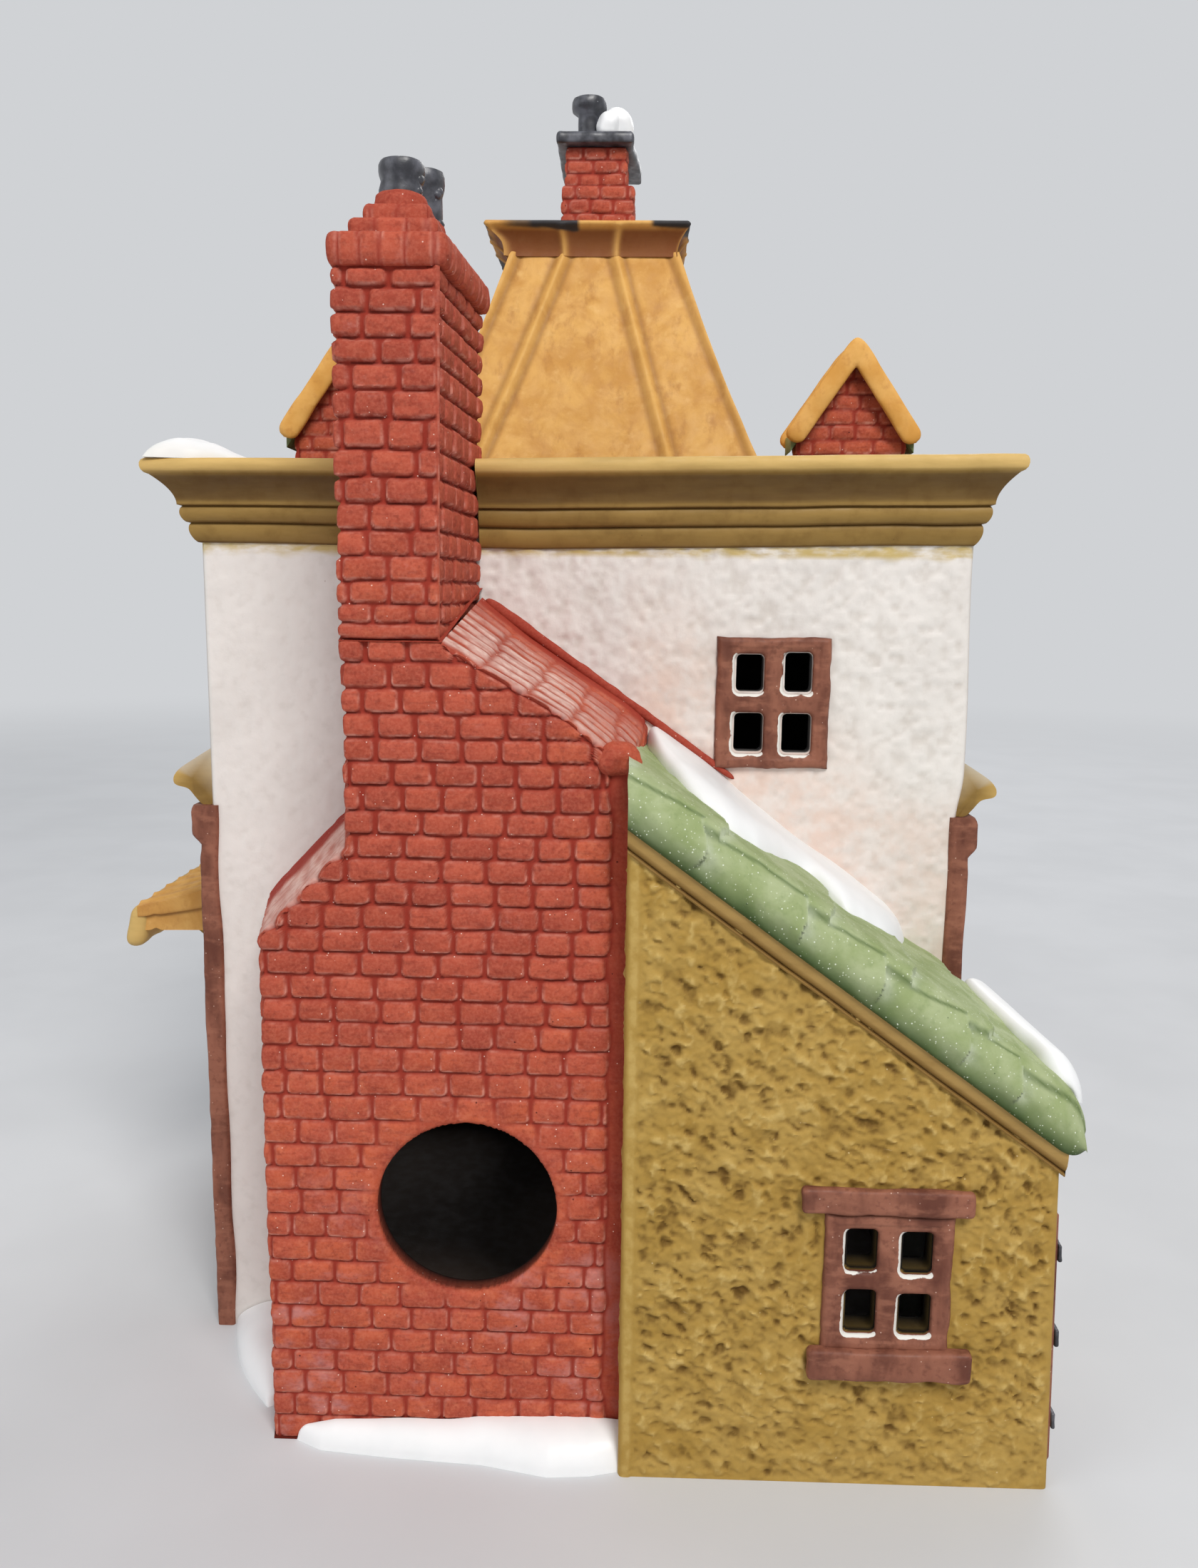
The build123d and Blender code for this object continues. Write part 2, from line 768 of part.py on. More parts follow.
with BuildPart() as bargeboard_front_left:
    mirror(bargeboard_front_right.part, about=Plane.YZ)
bargeboard_front_left.part.label = "bargeboard_front_left"
export_step(bargeboard_front_left.part, "parts/bargeboard_front_left.step")

# Lean-to: hollow walls under a roof that falls to the right
with BuildPart() as leanto_walls:
    with BuildSketch(Plane.XZ.offset(-leanto_front)):
        with BuildLine():
            Polyline(
                (leanto_left_x, 0),
                (leanto_right_x, 0),
                (leanto_right_x, verge_low),
                (leanto_left_x, verge_high),
                close=True,
            )
        make_face()
    extrude(amount=-leanto_depth)
    with BuildSketch(Plane.XZ.offset(-leanto_front - wall_thickness)):
        with BuildLine():
            Polyline(
                (leanto_left_x + wall_thickness, floor_thickness),
                (leanto_right_x - wall_thickness, floor_thickness),
                (leanto_right_x - wall_thickness, verge_low + verge_slope * wall_thickness),
                (leanto_left_x + wall_thickness, verge_high - verge_slope * wall_thickness),
                close=True,
            )
        make_face()
    extrude(amount=-(leanto_depth - 2 * wall_thickness), mode=Mode.SUBTRACT)
    with BuildSketch(Plane.XZ.offset(-rear_y)):
        with Locations((passage_x, floor_thickness + passage_height / 2)):
            Rectangle(passage_width, passage_height)
    extrude(amount=wall_thickness, mode=Mode.SUBTRACT)
    with BuildSketch(Plane.XZ.offset(-leanto_front)):
        with Locations((leanto_window_x, leanto_window_z)):
            with GridLocations(pane_spacing_width, pane_spacing_height, pane_columns, pane_rows):
                Rectangle(pane_width, pane_height)
    extrude(amount=-wall_thickness, mode=Mode.SUBTRACT)
leanto_walls.part.label = "leanto_walls"
export_step(leanto_walls.part, "parts/leanto_walls.step")

with BuildPart() as leanto_roof:
    with BuildSketch(Plane.XZ.offset(-leanto_front + roof_verge_depth)):
        with BuildLine():
            Polyline(
                (leanto_left_x, verge_high),
                (leanto_right_x + roof_eave_width, eave_low),
                (leanto_right_x + roof_eave_width, eave_low + roof_rise_height),
                (leanto_left_x, verge_high + roof_rise_height),
                close=True,
            )
        make_face()
    extrude(amount=-(leanto_depth + roof_verge_depth))
leanto_roof.part.label = "leanto_roof"
export_step(leanto_roof.part, "parts/leanto_roof.step")

# Moulding under the verge
with BuildPart() as leanto_moulding:
    with BuildSketch(Plane.XZ.offset(-leanto_front)):
        with BuildLine():
            Polyline(
                (leanto_left_x, verge_high - moulding_height),
                (leanto_right_x, verge_low - moulding_height),
                (leanto_right_x, verge_low),
                (leanto_left_x, verge_high),
                close=True,
            )
        make_face()
    extrude(amount=moulding_projection)
leanto_moulding.part.label = "leanto_moulding"
export_step(leanto_moulding.part, "parts/leanto_moulding.step")

# Snow lying on the lean-to roof, against the wall and at the eave
leanto_snow_left = leanto_left_x + leanto_snow_inset
leanto_snow_right = leanto_snow_left + leanto_width * leanto_snow_width_share
with BuildPart() as leanto_snow:
    with BuildSketch(Plane.XZ.offset(-rear_y)):
        with BuildLine():
            Polyline(
                (leanto_snow_left, roof_top_high - verge_slope * leanto_snow_inset),
                (leanto_snow_right, roof_top_high - verge_slope * (leanto_snow_right - leanto_left_x)),
                (
                    leanto_snow_right,
                    roof_top_high - verge_slope * (leanto_snow_right - leanto_left_x) + leanto_snow_height,
                ),
                (leanto_snow_left, roof_top_high - verge_slope * leanto_snow_inset + leanto_snow_height),
                close=True,
            )
        make_face()
    extrude(amount=leanto_snow_depth)
leanto_snow.part.label = "leanto_snow"
export_step(leanto_snow.part, "parts/leanto_snow.step")

eave_snow_right = leanto_right_x + roof_eave_width - eave_snow_inset
eave_snow_left = eave_snow_right - leanto_width * eave_snow_width_share
with BuildPart() as leanto_eave_snow:
    with BuildSketch(Plane.XZ.offset(-rear_y)):
        with BuildLine():
            Polyline(
                (eave_snow_left, roof_top_high - verge_slope * (eave_snow_left - leanto_left_x)),
                (eave_snow_right, roof_top_high - verge_slope * (eave_snow_right - leanto_left_x)),
                (
                    eave_snow_right,
                    roof_top_high - verge_slope * (eave_snow_right - leanto_left_x) + eave_snow_height,
                ),
                (
                    eave_snow_left,
                    roof_top_high - verge_slope * (eave_snow_left - leanto_left_x) + eave_snow_height,
                ),
                close=True,
            )
        make_face()
    extrude(amount=eave_snow_depth)
leanto_eave_snow.part.label = "leanto_eave_snow"
export_step(leanto_eave_snow.part, "parts/leanto_eave_snow.step")

# Four-pane window frames
with BuildPart() as window_rear:
    with BuildSketch(Plane.XZ.offset(-rear_y)):
        with Locations((rear_window_x, rear_window_z)):
            Rectangle(frame_width, frame_height)
            with GridLocations(pane_spacing_width, pane_spacing_height, pane_columns, pane_rows):
                Rectangle(pane_width, pane_height, mode=Mode.SUBTRACT)
    extrude(amount=frame_thickness)
window_rear.part.label = "window_rear"
export_step(window_rear.part, "parts/window_rear.step")

with BuildPart() as window_leanto:
    with BuildSketch(Plane.XZ.offset(-leanto_front)):
        with Locations((leanto_window_x, leanto_window_z)):
            Rectangle(frame_width, frame_height)
            with GridLocations(pane_spacing_width, pane_spacing_height, pane_columns, pane_rows):
                Rectangle(pane_width, pane_height, mode=Mode.SUBTRACT)
    extrude(amount=frame_thickness)
window_leanto.part.label = "window_leanto"
export_step(window_leanto.part, "parts/window_leanto.step")

with BuildPart() as leanto_lintel:
    with BuildSketch(Plane.XZ.offset(-leanto_front)):
        with Locations((leanto_window_x, leanto_window_z + (frame_height + lintel_height) / 2)):
            Rectangle(lintel_width, lintel_height)
    extrude(amount=lintel_thickness)
leanto_lintel.part.label = "leanto_lintel"
export_step(leanto_lintel.part, "parts/leanto_lintel.step")

with BuildPart() as leanto_sill:
    with BuildSketch(Plane.XZ.offset(-leanto_front)):
        with Locations((leanto_window_x, leanto_window_z - (frame_height + sill_height) / 2)):
            Rectangle(sill_width, sill_height)
    extrude(amount=sill_thickness)
leanto_sill.part.label = "leanto_sill"
export_step(leanto_sill.part, "parts/leanto_sill.step")

with BuildPart() as window_right:
    with BuildSketch(Plane.YZ.offset(half_width)):
        with Locations((side_window_offset, upper_window_z)):
            Rectangle(frame_width, frame_height)
            with GridLocations(pane_spacing_width, pane_spacing_height, pane_columns, pane_rows):
                Rectangle(pane_width, pane_height, mode=Mode.SUBTRACT)
    extrude(amount=frame_thickness)
window_right.part.label = "window_right"
export_step(window_right.part, "parts/window_right.step")

with BuildPart() as window_left:
    mirror(window_right.part, about=Plane.YZ)
window_left.part.label = "window_left"
export_step(window_left.part, "parts/window_left.step")

with BuildPart() as window_front_upper_right:
    with BuildSketch(Plane.XZ.offset(-front_y)):
        with Locations((front_window_x, upper_window_z)):
            Rectangle(frame_width, frame_height)
            with GridLocations(pane_spacing_width, pane_spacing_height, pane_columns, pane_rows):
                Rectangle(pane_width, pane_height, mode=Mode.SUBTRACT)
    extrude(amount=-frame_thickness)
window_front_upper_right.part.label = "window_front_upper_right"
export_step(window_front_upper_right.part, "parts/window_front_upper_right.step")

with BuildPart() as window_front_upper_left:
    mirror(window_front_upper_right.part, about=Plane.YZ)
window_front_upper_left.part.label = "window_front_upper_left"
export_step(window_front_upper_left.part, "parts/window_front_upper_left.step")

# Plank door in the lean-to's right wall, on three strap hinges
with BuildPart() as leanto_door:
    with BuildSketch(Plane.YZ.offset(leanto_right_x)):
        with Locations((leanto_door_y, floor_thickness + leanto_door_height / 2)):
            Rectangle(leanto_door_width, leanto_door_height)
    extrude(amount=leanto_door_thickness)
leanto_door.part.label = "leanto_door"
export_step(leanto_door.part, "parts/leanto_door.step")

with BuildPart() as leanto_hinges:
    with BuildSketch(Plane.YZ.offset(leanto_right_x + leanto_door_thickness)):
        with Locations(
            (
                leanto_door_y - (leanto_door_width - hinge_length) / 2,
                floor_thickness + leanto_door_height / 2,
            )
        ):
            with GridLocations(hinge_length, hinge_spacing, 1, 3):
                Rectangle(hinge_length, hinge_height)
    extrude(amount=hinge_thickness)
leanto_hinges.part.label = "leanto_hinges"
export_step(leanto_hinges.part, "parts/leanto_hinges.step")

# Hood over the door in the left wall, with its gutter and two brackets
with BuildPart() as side_hood:
    with BuildSketch(Plane.XZ.offset(-hood_rear_y)):
        with BuildLine():
            Polyline(
                (-half_width, hood_high),
                (-half_width, hood_under),
                (hood_outer_x, hood_outer_under),
                (hood_outer_x, hood_outer_high),
                close=True,
            )
        make_face()
    extrude(amount=-hood_length)
side_hood.part.label = "side_hood"
export_step(side_hood.part, "parts/side_hood.step")

with BuildPart() as hood_gutter:
    with BuildSketch(Plane.XZ.offset(-hood_rear_y)):
        with BuildLine():
            Polyline(
                (hood_outer_x, hood_outer_high),
                (hood_outer_x, hood_outer_under - gutter_height),
                (hood_outer_x - gutter_thickness, hood_outer_under - gutter_height),
                (hood_outer_x - gutter_thickness, hood_outer_high),
                close=True,
            )
        make_face()
    extrude(amount=-hood_length)
hood_gutter.part.label = "hood_gutter"
export_step(hood_gutter.part, "parts/hood_gutter.step")

with BuildPart() as hood_bracket_rear:
    with BuildSketch(Plane.XZ.offset(-hood_rear_y - bracket_inset)):
        with BuildLine():
            Polyline(
                (-half_width, hood_under),
                (-half_width, hood_under - bracket_height),
                (-half_width - bracket_width, bracket_tip),
                close=True,
            )
        make_face()
    extrude(amount=-bracket_thickness)
hood_bracket_rear.part.label = "hood_bracket_rear"
export_step(hood_bracket_rear.part, "parts/hood_bracket_rear.step")

with BuildPart() as hood_bracket_front:
    mirror(hood_bracket_rear.part, about=Plane.XZ.offset(-hood_y))
hood_bracket_front.part.label = "hood_bracket_front"
export_step(hood_bracket_front.part, "parts/hood_bracket_front.step")

with BuildPart() as side_door:
    with BuildSketch(Plane.YZ.offset(-half_width)):
        with Locations((hood_y, step_height + side_door_height / 2)):
            Rectangle(side_door_width, side_door_height)
    extrude(amount=-door_thickness)
side_door.part.label = "side_door"
export_step(side_door.part, "parts/side_door.step")

with BuildPart() as side_step:
    with BuildSketch(Plane.XY):
        with Locations((-half_width - side_step_depth / 2, hood_y)):
            Rectangle(side_step_depth, side_door_width + 2 * step_margin)
    extrude(amount=step_height)
side_step.part.label = "side_step"
export_step(side_step.part, "parts/side_step.step")

# Shop front: door, step and two windows
with BuildPart() as front_door:
    with BuildSketch(Plane.XZ.offset(-front_y)):
        with Locations((0, step_height + front_door_height / 2)):
            Rectangle(front_door_width, front_door_height)
    extrude(amount=-door_thickness)
front_door.part.label = "front_door"
export_step(front_door.part, "parts/front_door.step")

with BuildPart() as front_step:
    with BuildSketch(Plane.XY):
        with Locations((0, front_y + front_step_depth / 2)):
            Rectangle(front_door_width + 2 * step_margin, front_step_depth)
    extrude(amount=step_height)
front_step.part.label = "front_step"
export_step(front_step.part, "parts/front_step.step")

with BuildPart() as shop_window_right:
    with BuildSketch(Plane.XZ.offset(-front_y)):
        with Locations((shop_window_x, shop_window_z)):
            Rectangle(shop_window_width, shop_window_height)
            with GridLocations(shop_spacing_width, shop_spacing_height, shop_columns, shop_rows):
                Rectangle(shop_pane_width, shop_pane_height, mode=Mode.SUBTRACT)
    extrude(amount=-frame_thickness)
shop_window_right.part.label = "shop_window_right"
export_step(shop_window_right.part, "parts/shop_window_right.step")

with BuildPart() as shop_window_left:
    mirror(shop_window_right.part, about=Plane.YZ)
shop_window_left.part.label = "shop_window_left"
export_step(shop_window_left.part, "parts/shop_window_left.step")

# Snow drifts on the ground and on the cornice
with BuildPart() as breast_drift:
    with BuildSketch(Plane.YZ.offset(breast_left_x + drift_inset)):
        with BuildLine():
            Polyline(
                (breast_front, 0),
                (breast_front - drift_depth, 0),
                (breast_front, drift_height),
                close=True,
            )
        make_face()
    extrude(amount=breast_width - drift_inset)
breast_drift.part.label = "breast_drift"
export_step(breast_drift.part, "parts/breast_drift.step")

with BuildPart() as corner_drift:
    with BuildSketch(Plane.XY):
        with BuildLine():
            Polyline(
                (corner_drift_x, rear_y - corner_drift_depth),
                (breast_left_x - draft_width, rear_y),
                (-half_width + corner_drift_inset, rear_y),
                close=True,
            )
        make_face()
    extrude(amount=corner_drift_height)
corner_drift.part.label = "corner_drift"
export_step(corner_drift.part, "parts/corner_drift.step")

with BuildPart() as ledge_snow:
    with BuildSketch(Plane.XY.offset(roof_level)):
        with Locations(
            (
                -half_width - cornice_projection + ledge_snow_inset + ledge_snow_width / 2,
                rear_y - cornice_projection + ledge_snow_inset + ledge_snow_depth / 2,
            )
        ):
            Rectangle(ledge_snow_width, ledge_snow_depth)
    extrude(amount=ledge_snow_height)
ledge_snow.part.label = "ledge_snow"
export_step(ledge_snow.part, "parts/ledge_snow.step")
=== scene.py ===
import math
import bpy
import numpy as np
from mathutils import Matrix, Vector


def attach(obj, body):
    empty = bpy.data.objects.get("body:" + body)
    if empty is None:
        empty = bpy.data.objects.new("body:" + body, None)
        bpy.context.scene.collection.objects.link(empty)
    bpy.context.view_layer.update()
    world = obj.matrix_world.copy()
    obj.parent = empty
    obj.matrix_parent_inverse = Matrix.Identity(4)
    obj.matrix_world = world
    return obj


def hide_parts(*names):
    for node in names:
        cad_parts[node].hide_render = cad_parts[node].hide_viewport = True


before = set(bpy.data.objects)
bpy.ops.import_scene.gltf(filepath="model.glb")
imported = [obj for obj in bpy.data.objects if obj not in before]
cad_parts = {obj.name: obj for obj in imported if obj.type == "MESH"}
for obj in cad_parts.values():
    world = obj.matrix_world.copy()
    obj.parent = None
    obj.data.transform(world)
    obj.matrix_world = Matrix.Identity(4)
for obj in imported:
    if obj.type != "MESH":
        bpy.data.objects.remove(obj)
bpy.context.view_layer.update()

# Lit porcelain village house: reliefs, paints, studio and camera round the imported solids.
# Lengths are millimetres in the part's own frame, and become metres where meshes are made.

MM = 0.001


# Numbers and noise

def ease(low, high, x):
    t = np.clip((x - low) / (high - low), 0, 1)
    return t * t * (3 - 2 * t)


def lerp(a, b, t):
    return a + (b - a) * t


def rounded(d, radius):
    """Height of a quarter-round edge, 0 to 1, at a distance d in from it."""
    return np.sqrt(np.clip(1 - np.clip(1 - d / radius, 0, 1) ** 2, 0, 1))


def bell(d, width):
    """1 where d is 0, falling away smoothly on both sides."""
    return np.exp(-(d / width) ** 2)


def unit(v, least=1e-9):
    return v / np.maximum(np.linalg.norm(v, axis=-1, keepdims=True), least)


def xyz(x, y, z):
    return np.stack(np.broadcast_arrays(x, y, z), -1)


def raised(xy, z):
    """Points at places xy in plan and heights z."""
    return np.concatenate([xy, z[..., None]], -1)


HASH_SEED = (40503, 977)
HASH_PRIMES = (73856093, 19349663, 83492791)
HASH_STIRS = ((15, 2246822519), (13, 3266489917))
HASH_WORD, HASH_PART, HASH_HALF = np.uint64(0xFFFFFFFF), np.uint64(0xFFFFFF), 8388607.5


def lattice(i, j, k, seed):
    """A repeatable value in -1..1 for each whole-number place."""
    h = np.uint64(seed * HASH_SEED[0] + HASH_SEED[1])
    for x, prime in zip((i, j, k), HASH_PRIMES):
        h = h ^ (np.asarray(x).astype(np.int64).astype(np.uint64) * np.uint64(prime))
    h = h & HASH_WORD
    for shift, factor in HASH_STIRS:
        h = ((h ^ (h >> np.uint64(shift))) * np.uint64(factor)) & HASH_WORD
    return ((h ^ (h >> np.uint64(16))) & HASH_PART).astype(float) / HASH_HALF - 1


def noise(p, size, seed):
    """Smooth noise in -1..1 at points p, with cells of the given size."""
    q = np.asarray(p, float) / size
    i = np.floor(q)
    f = q - i
    f = f * f * f * (f * (f * 6 - 15) + 10)
    total = 0
    for dx in (0, 1):
        for dy in (0, 1):
            for dz in (0, 1):
                w = ((f[..., 0] if dx else 1 - f[..., 0]) * (f[..., 1] if dy else 1 - f[..., 1])
                     * (f[..., 2] if dz else 1 - f[..., 2]))
                total = total + w * lattice(i[..., 0] + dx, i[..., 1] + dy, i[..., 2] + dz, seed)
    return total


def flat_noise(u, v, size, seed):
    return noise(xyz(u, v, 0.37 * size), size, seed)


def line_noise(u, size, seed):
    return flat_noise(u, 0 * u, size, seed)


def cells(u, v, size, seed):
    """Distance to the nearest of scattered points, and that point's own random value."""
    a, b = np.broadcast_arrays(np.asarray(u) / size, np.asarray(v) / size)
    i, j = np.floor(a), np.floor(b)
    best = np.full(a.shape, 9.0)
    who = np.zeros(a.shape)
    for di in (-1, 0, 1):
        for dj in (-1, 0, 1):
            x = i + di + 0.5 + 0.48 * lattice(i + di, j + dj, 0, seed)
            y = j + dj + 0.5 + 0.48 * lattice(i + di, j + dj, 1, seed)
            d = np.hypot(a - x, b - y)
            near = d < best
            best = np.where(near, d, best)
            who = np.where(near, lattice(i + di, j + dj, 2, seed), who)
    return best * size, who


# Meshes

WELD = 0.004


class Soup:
    """Points, four-cornered faces and named values per point, gathered into one mesh."""

    def __init__(self):
        self.points, self.faces, self.values, self.count = [], [], [], 0

    def add(self, points, faces, values=None):
        points = np.asarray(points, float).reshape(-1, 3)
        self.points.append(points)
        self.faces.append(np.asarray(faces, np.int64).reshape(-1, 4) + self.count)
        self.values.append({k: np.broadcast_to(np.asarray(v, float), len(points)) if np.ndim(v) == 0
                            else np.asarray(v, float).reshape(-1) for k, v in (values or {}).items()})
        self.count += len(points)
        return self

    def grid(self, points, values=None, keep=None, flip=False, close=False):
        """A sheet of rows and columns, facing column direction x row direction."""
        if close:
            points = np.concatenate([points, points[:, :1]], 1)
            values = {k: np.concatenate([v, v[:, :1]], 1) if np.ndim(v) else v
                      for k, v in (values or {}).items()}
        rows, cols = points.shape[:2]
        index = np.arange(rows * cols).reshape(rows, cols)
        faces = np.stack([index[:-1, :-1], index[:-1, 1:], index[1:, 1:], index[1:, :-1]], -1)
        faces = faces[keep] if keep is not None else faces.reshape(-1, 4)
        return self.add(points, faces[:, ::-1] if flip else faces, values)

    def make(self, name, slot, node, sharp):
        """Welds the points, drops faces of no size, and makes the piece that stands for a node."""
        points = np.concatenate(self.points)
        faces = np.concatenate(self.faces)
        names = sorted({k for v in self.values for k in v})
        values = {}
        for k in names:
            values[k] = np.concatenate([v.get(k, np.zeros(len(p))) for v, p in zip(self.values, self.points)])
        _, first, inverse = np.unique(np.round(points / WELD).astype(np.int64), axis=0,
                                      return_index=True, return_inverse=True)
        faces = inverse.ravel()[faces]
        a, b, c, d = faces.T
        pairs = np.stack([a == b, b == c, c == d, d == a], 1)
        doubled = pairs.sum(1)
        whole = (a != c) & (b != d)
        quads = faces[(doubled == 0) & whole]
        thin = (doubled == 1) & whole
        order = np.array([[1, 2, 3], [0, 1, 3], [0, 1, 2], [0, 1, 2]])
        tris = np.take_along_axis(faces[thin], order[pairs[thin].argmax(1)], 1)
        used = np.unique(np.concatenate([quads.ravel(), tris.ravel()]))
        place = np.zeros(len(first), np.int64)
        place[used] = np.arange(len(used))
        mesh = bpy.data.meshes.new(name)
        mesh.vertices.add(len(used))
        mesh.vertices.foreach_set("co", (points[first[used]] * MM).astype(np.float32).ravel())
        corners = np.concatenate([place[quads].ravel(), place[tris].ravel()]).astype(np.int32)
        starts = np.concatenate([np.arange(len(quads)) * 4, len(quads) * 4 + np.arange(len(tris)) * 3])
        mesh.loops.add(len(corners))
        mesh.loops.foreach_set("vertex_index", corners)
        mesh.polygons.add(len(starts))
        mesh.polygons.foreach_set("loop_start", starts.astype(np.int32))
        mesh.update(calc_edges=True)
        mesh.validate()
        for k in names:
            layer = mesh.attributes.new(k, "FLOAT", "POINT")
            layer.data.foreach_set("value", values[k][first[used]].astype(np.float32))
        mesh.shade_smooth()
        mesh.set_sharp_from_angle(angle=math.radians(sharp))
        mesh.materials.append(PAINTS[slot])
        piece = bpy.data.objects.new(name, mesh)
        bpy.context.scene.collection.objects.link(piece)
        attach(piece, "root")
        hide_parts(node)


# Directions across, up and out of each side of the house, seen from outside
SIDES = {
    "rear": ((1, 0, 0), (0, 0, 1), (0, -1, 0)),
    "front": ((-1, 0, 0), (0, 0, 1), (0, 1, 0)),
    "right": ((0, 1, 0), (0, 0, 1), (1, 0, 0)),
    "left": ((0, -1, 0), (0, 0, 1), (-1, 0, 0)),
}


def span(length, step):
    return np.linspace(0, length, max(2, int(math.ceil(length / step))) + 1)


def rim_points(shown):
    """Points of a grid that lie between faces that show and faces that don't."""
    has, lacks = (np.zeros((shown.shape[0] + 1, shown.shape[1] + 1), bool) for _ in range(2))
    for rows in (slice(None, -1), slice(1, None)):
        for cols in (slice(None, -1), slice(1, None)):
            has[rows, cols] |= shown
            lacks[rows, cols] |= ~shown
    return has & lacks


def edge_pairs(lower, upper, flip):
    """The edges of two sheets, one over the other, and whether the faces between them are to be flipped."""
    return ((lower[0], upper[0], flip), (lower[-1], upper[-1], not flip),
            (lower[:, 0], upper[:, 0], not flip), (lower[:, -1], upper[:, -1], flip))


def slopes(f, x, y, e):
    """How fast f grows along x and along y."""
    return (f(x + e, y) - f(x - e, y)) / (2 * e), (f(x, y + e) - f(x, y - e)) / (2 * e)


REVEAL = 0.9
# Shares of painted shade on the face, lip and back rings round each opening
REVEAL_SHADE = (0.0, 0.85, 1.0)


def panel(soup, side, origin, width, height, step, thick, relief, keep, values, inside=1.0, reveal=None):
    """A slab with a relief on its outer face. keep gives the distance to the nearest opening, positive in the
    slab, the share after values paints its back near black as painted shade, and reveal holds values for the
    edges of its openings."""
    across, up, out = (np.array(a, float) for a in SIDES[side])
    u, v = np.meshgrid(span(width, step), span(height, step))
    shown = np.ones((u.shape[0] - 1, u.shape[1] - 1), bool)
    if keep is not None:
        shown = keep((u[:-1, :-1] + u[1:, 1:]) / 2, (v[:-1, :-1] + v[1:, 1:]) / 2) > 0
        rim = rim_points(shown)
        for _ in range(3):
            x, y = u[rim], v[rim]
            d = keep(x, y)
            gx, gy = slopes(keep, x, y, 0.01)
            size = np.maximum(gx * gx + gy * gy, 0.2)
            u[rim] = np.clip(x - d * gx / size, 0, width)
            v[rim] = np.clip(y - d * gy / size, 0, height)
    h = relief(u, v)
    flat = np.array(origin, float) + u[..., None] * across + v[..., None] * up
    face = flat + h[..., None] * out
    lip = flat - min(REVEAL, thick / 2) * out
    back = flat - thick * out
    given = values(u, v, h)
    soup.grid(face, given, keep=shown)
    # The back is painted dark as painted shade, all but its outer border
    back_shade = np.full(u.shape, inside)
    back_shade[(0, -1), :] = back_shade[:, (0, -1)] = 0.0
    soup.grid(back, {"inside": back_shade}, keep=shown, flip=True)
    count = u.size
    index = np.arange(count).reshape(u.shape)
    wide = np.pad(shown, 1)
    a, b, d, e = index[:-1, :-1], index[:-1, 1:], index[1:, :-1], index[1:, 1:]
    sides = []
    for first, second, beyond in ((a, b, wide[:-2, 1:-1]), (e, d, wide[2:, 1:-1]),
                                  (d, a, wide[1:-1, :-2]), (b, e, wide[1:-1, 2:])):
        edge = shown & ~beyond
        p, q = first[edge], second[edge]
        sides += [np.stack([p + k, p + k + count, q + k + count, q + k], -1) for k in (0, count)]
    edge_values = {}
    for k, x in given.items():
        on_face = np.ravel(np.broadcast_to(x, u.shape))
        edge_values[k] = np.concatenate([on_face, np.full(2 * count, (reveal or {}).get(k, 0.0))])
    edge_values["inside"] = np.concatenate([share * back_shade.ravel() for share in REVEAL_SHADE])
    points = np.concatenate([p.reshape(-1, 3) for p in (face, lip, back)])
    return soup.add(points, np.concatenate(sides), edge_values)


def boxes_keep(*boxes):
    """keep for slabs with rounded oblong openings, each (u, v, width, height, corner radius)."""
    def keep(u, v):
        best = np.full(np.shape(u), 1e3)
        for cu, cv, w, h, r in boxes:
            x, y = np.abs(u - cu) - w / 2 + r, np.abs(v - cv) - h / 2 + r
            beyond = np.hypot(np.maximum(x, 0), np.maximum(y, 0))
            best = np.minimum(best, beyond + np.minimum(np.maximum(x, y), 0) - r)
        return best
    return keep


def block(soup, centre, size, radius, step, wobble=0.0, seed=0, values=None, grain=3.0):
    """A block with rounded edges, a little uneven."""
    half = np.array(size, float) / 2
    soft = np.minimum(radius, half * 0.98)
    lines = []
    for h, r in zip(half, soft):
        curve = -h + r * np.array([0, 0.1, 0.3, 0.6, 1])
        middle = np.linspace(-h + r, h - r, max(1, int(math.ceil(2 * (h - r) / step))) + 1)
        lines.append(np.concatenate([curve[:-1], middle, -curve[::-1][1:]]))
    for k in range(3):
        i, j = (k + 1) % 3, (k + 2) % 3
        for sign in (-1, 1):
            a, b = np.meshgrid(lines[i], lines[j])
            p = np.zeros(a.shape + (3,))
            p[..., i], p[..., j], p[..., k] = a, b, sign * half[k]
            core = np.clip(p, -half + soft, half - soft)
            d = unit(p - core)
            world = np.array(centre, float) + (core + soft * d)
            if wobble:
                uneven = noise(world, grain, seed) + 0.5 * noise(world, grain / 2, seed + 1)
                world = world + d * (wobble * uneven)[..., None]
            soup.grid(world, values, flip=sign < 0)
    return soup


def ring(corners, step, soften):
    """Distances along a closed outline with softened corners, the points there, the ways out from them, and
    the distances of the corners. The outline runs anticlockwise seen from above."""
    c = np.array(corners, float)
    legs = np.roll(c, -1, 0) - c
    long = np.hypot(*legs.T)
    at = np.concatenate([[0], np.cumsum(long)])
    s = np.linspace(0, at[-1], int(math.ceil(at[-1] / step)) + 1)[:-1]

    def place(x):
        x = np.mod(x, at[-1])
        k = np.clip(np.searchsorted(at, x, "right") - 1, 0, len(c) - 1)
        return c[k] + legs[k] * ((x - at[k]) / long[k])[:, None]

    xy = sum(place(s + e) for e in np.linspace(-soften, soften, 9)) / 9
    along = np.roll(xy, -1, 0) - np.roll(xy, 1, 0)
    out = np.stack([along[:, 1], -along[:, 0]], 1)
    return s, xy, out / np.maximum(np.hypot(*out.T), 1e-9)[:, None], at


SOFT_INSET = 0.6


def spread(xy, out, offset):
    """An outline moved out by offset. An inset past its soft corners shrinks it to its middle instead."""
    middle = xy.mean(0)
    deep = np.minimum(offset + SOFT_INSET, 0)[..., None] / (np.ptp(xy, axis=0) / 2)
    return middle + (xy - middle) * (1 + deep) + out * np.maximum(offset, -SOFT_INSET)[..., None]


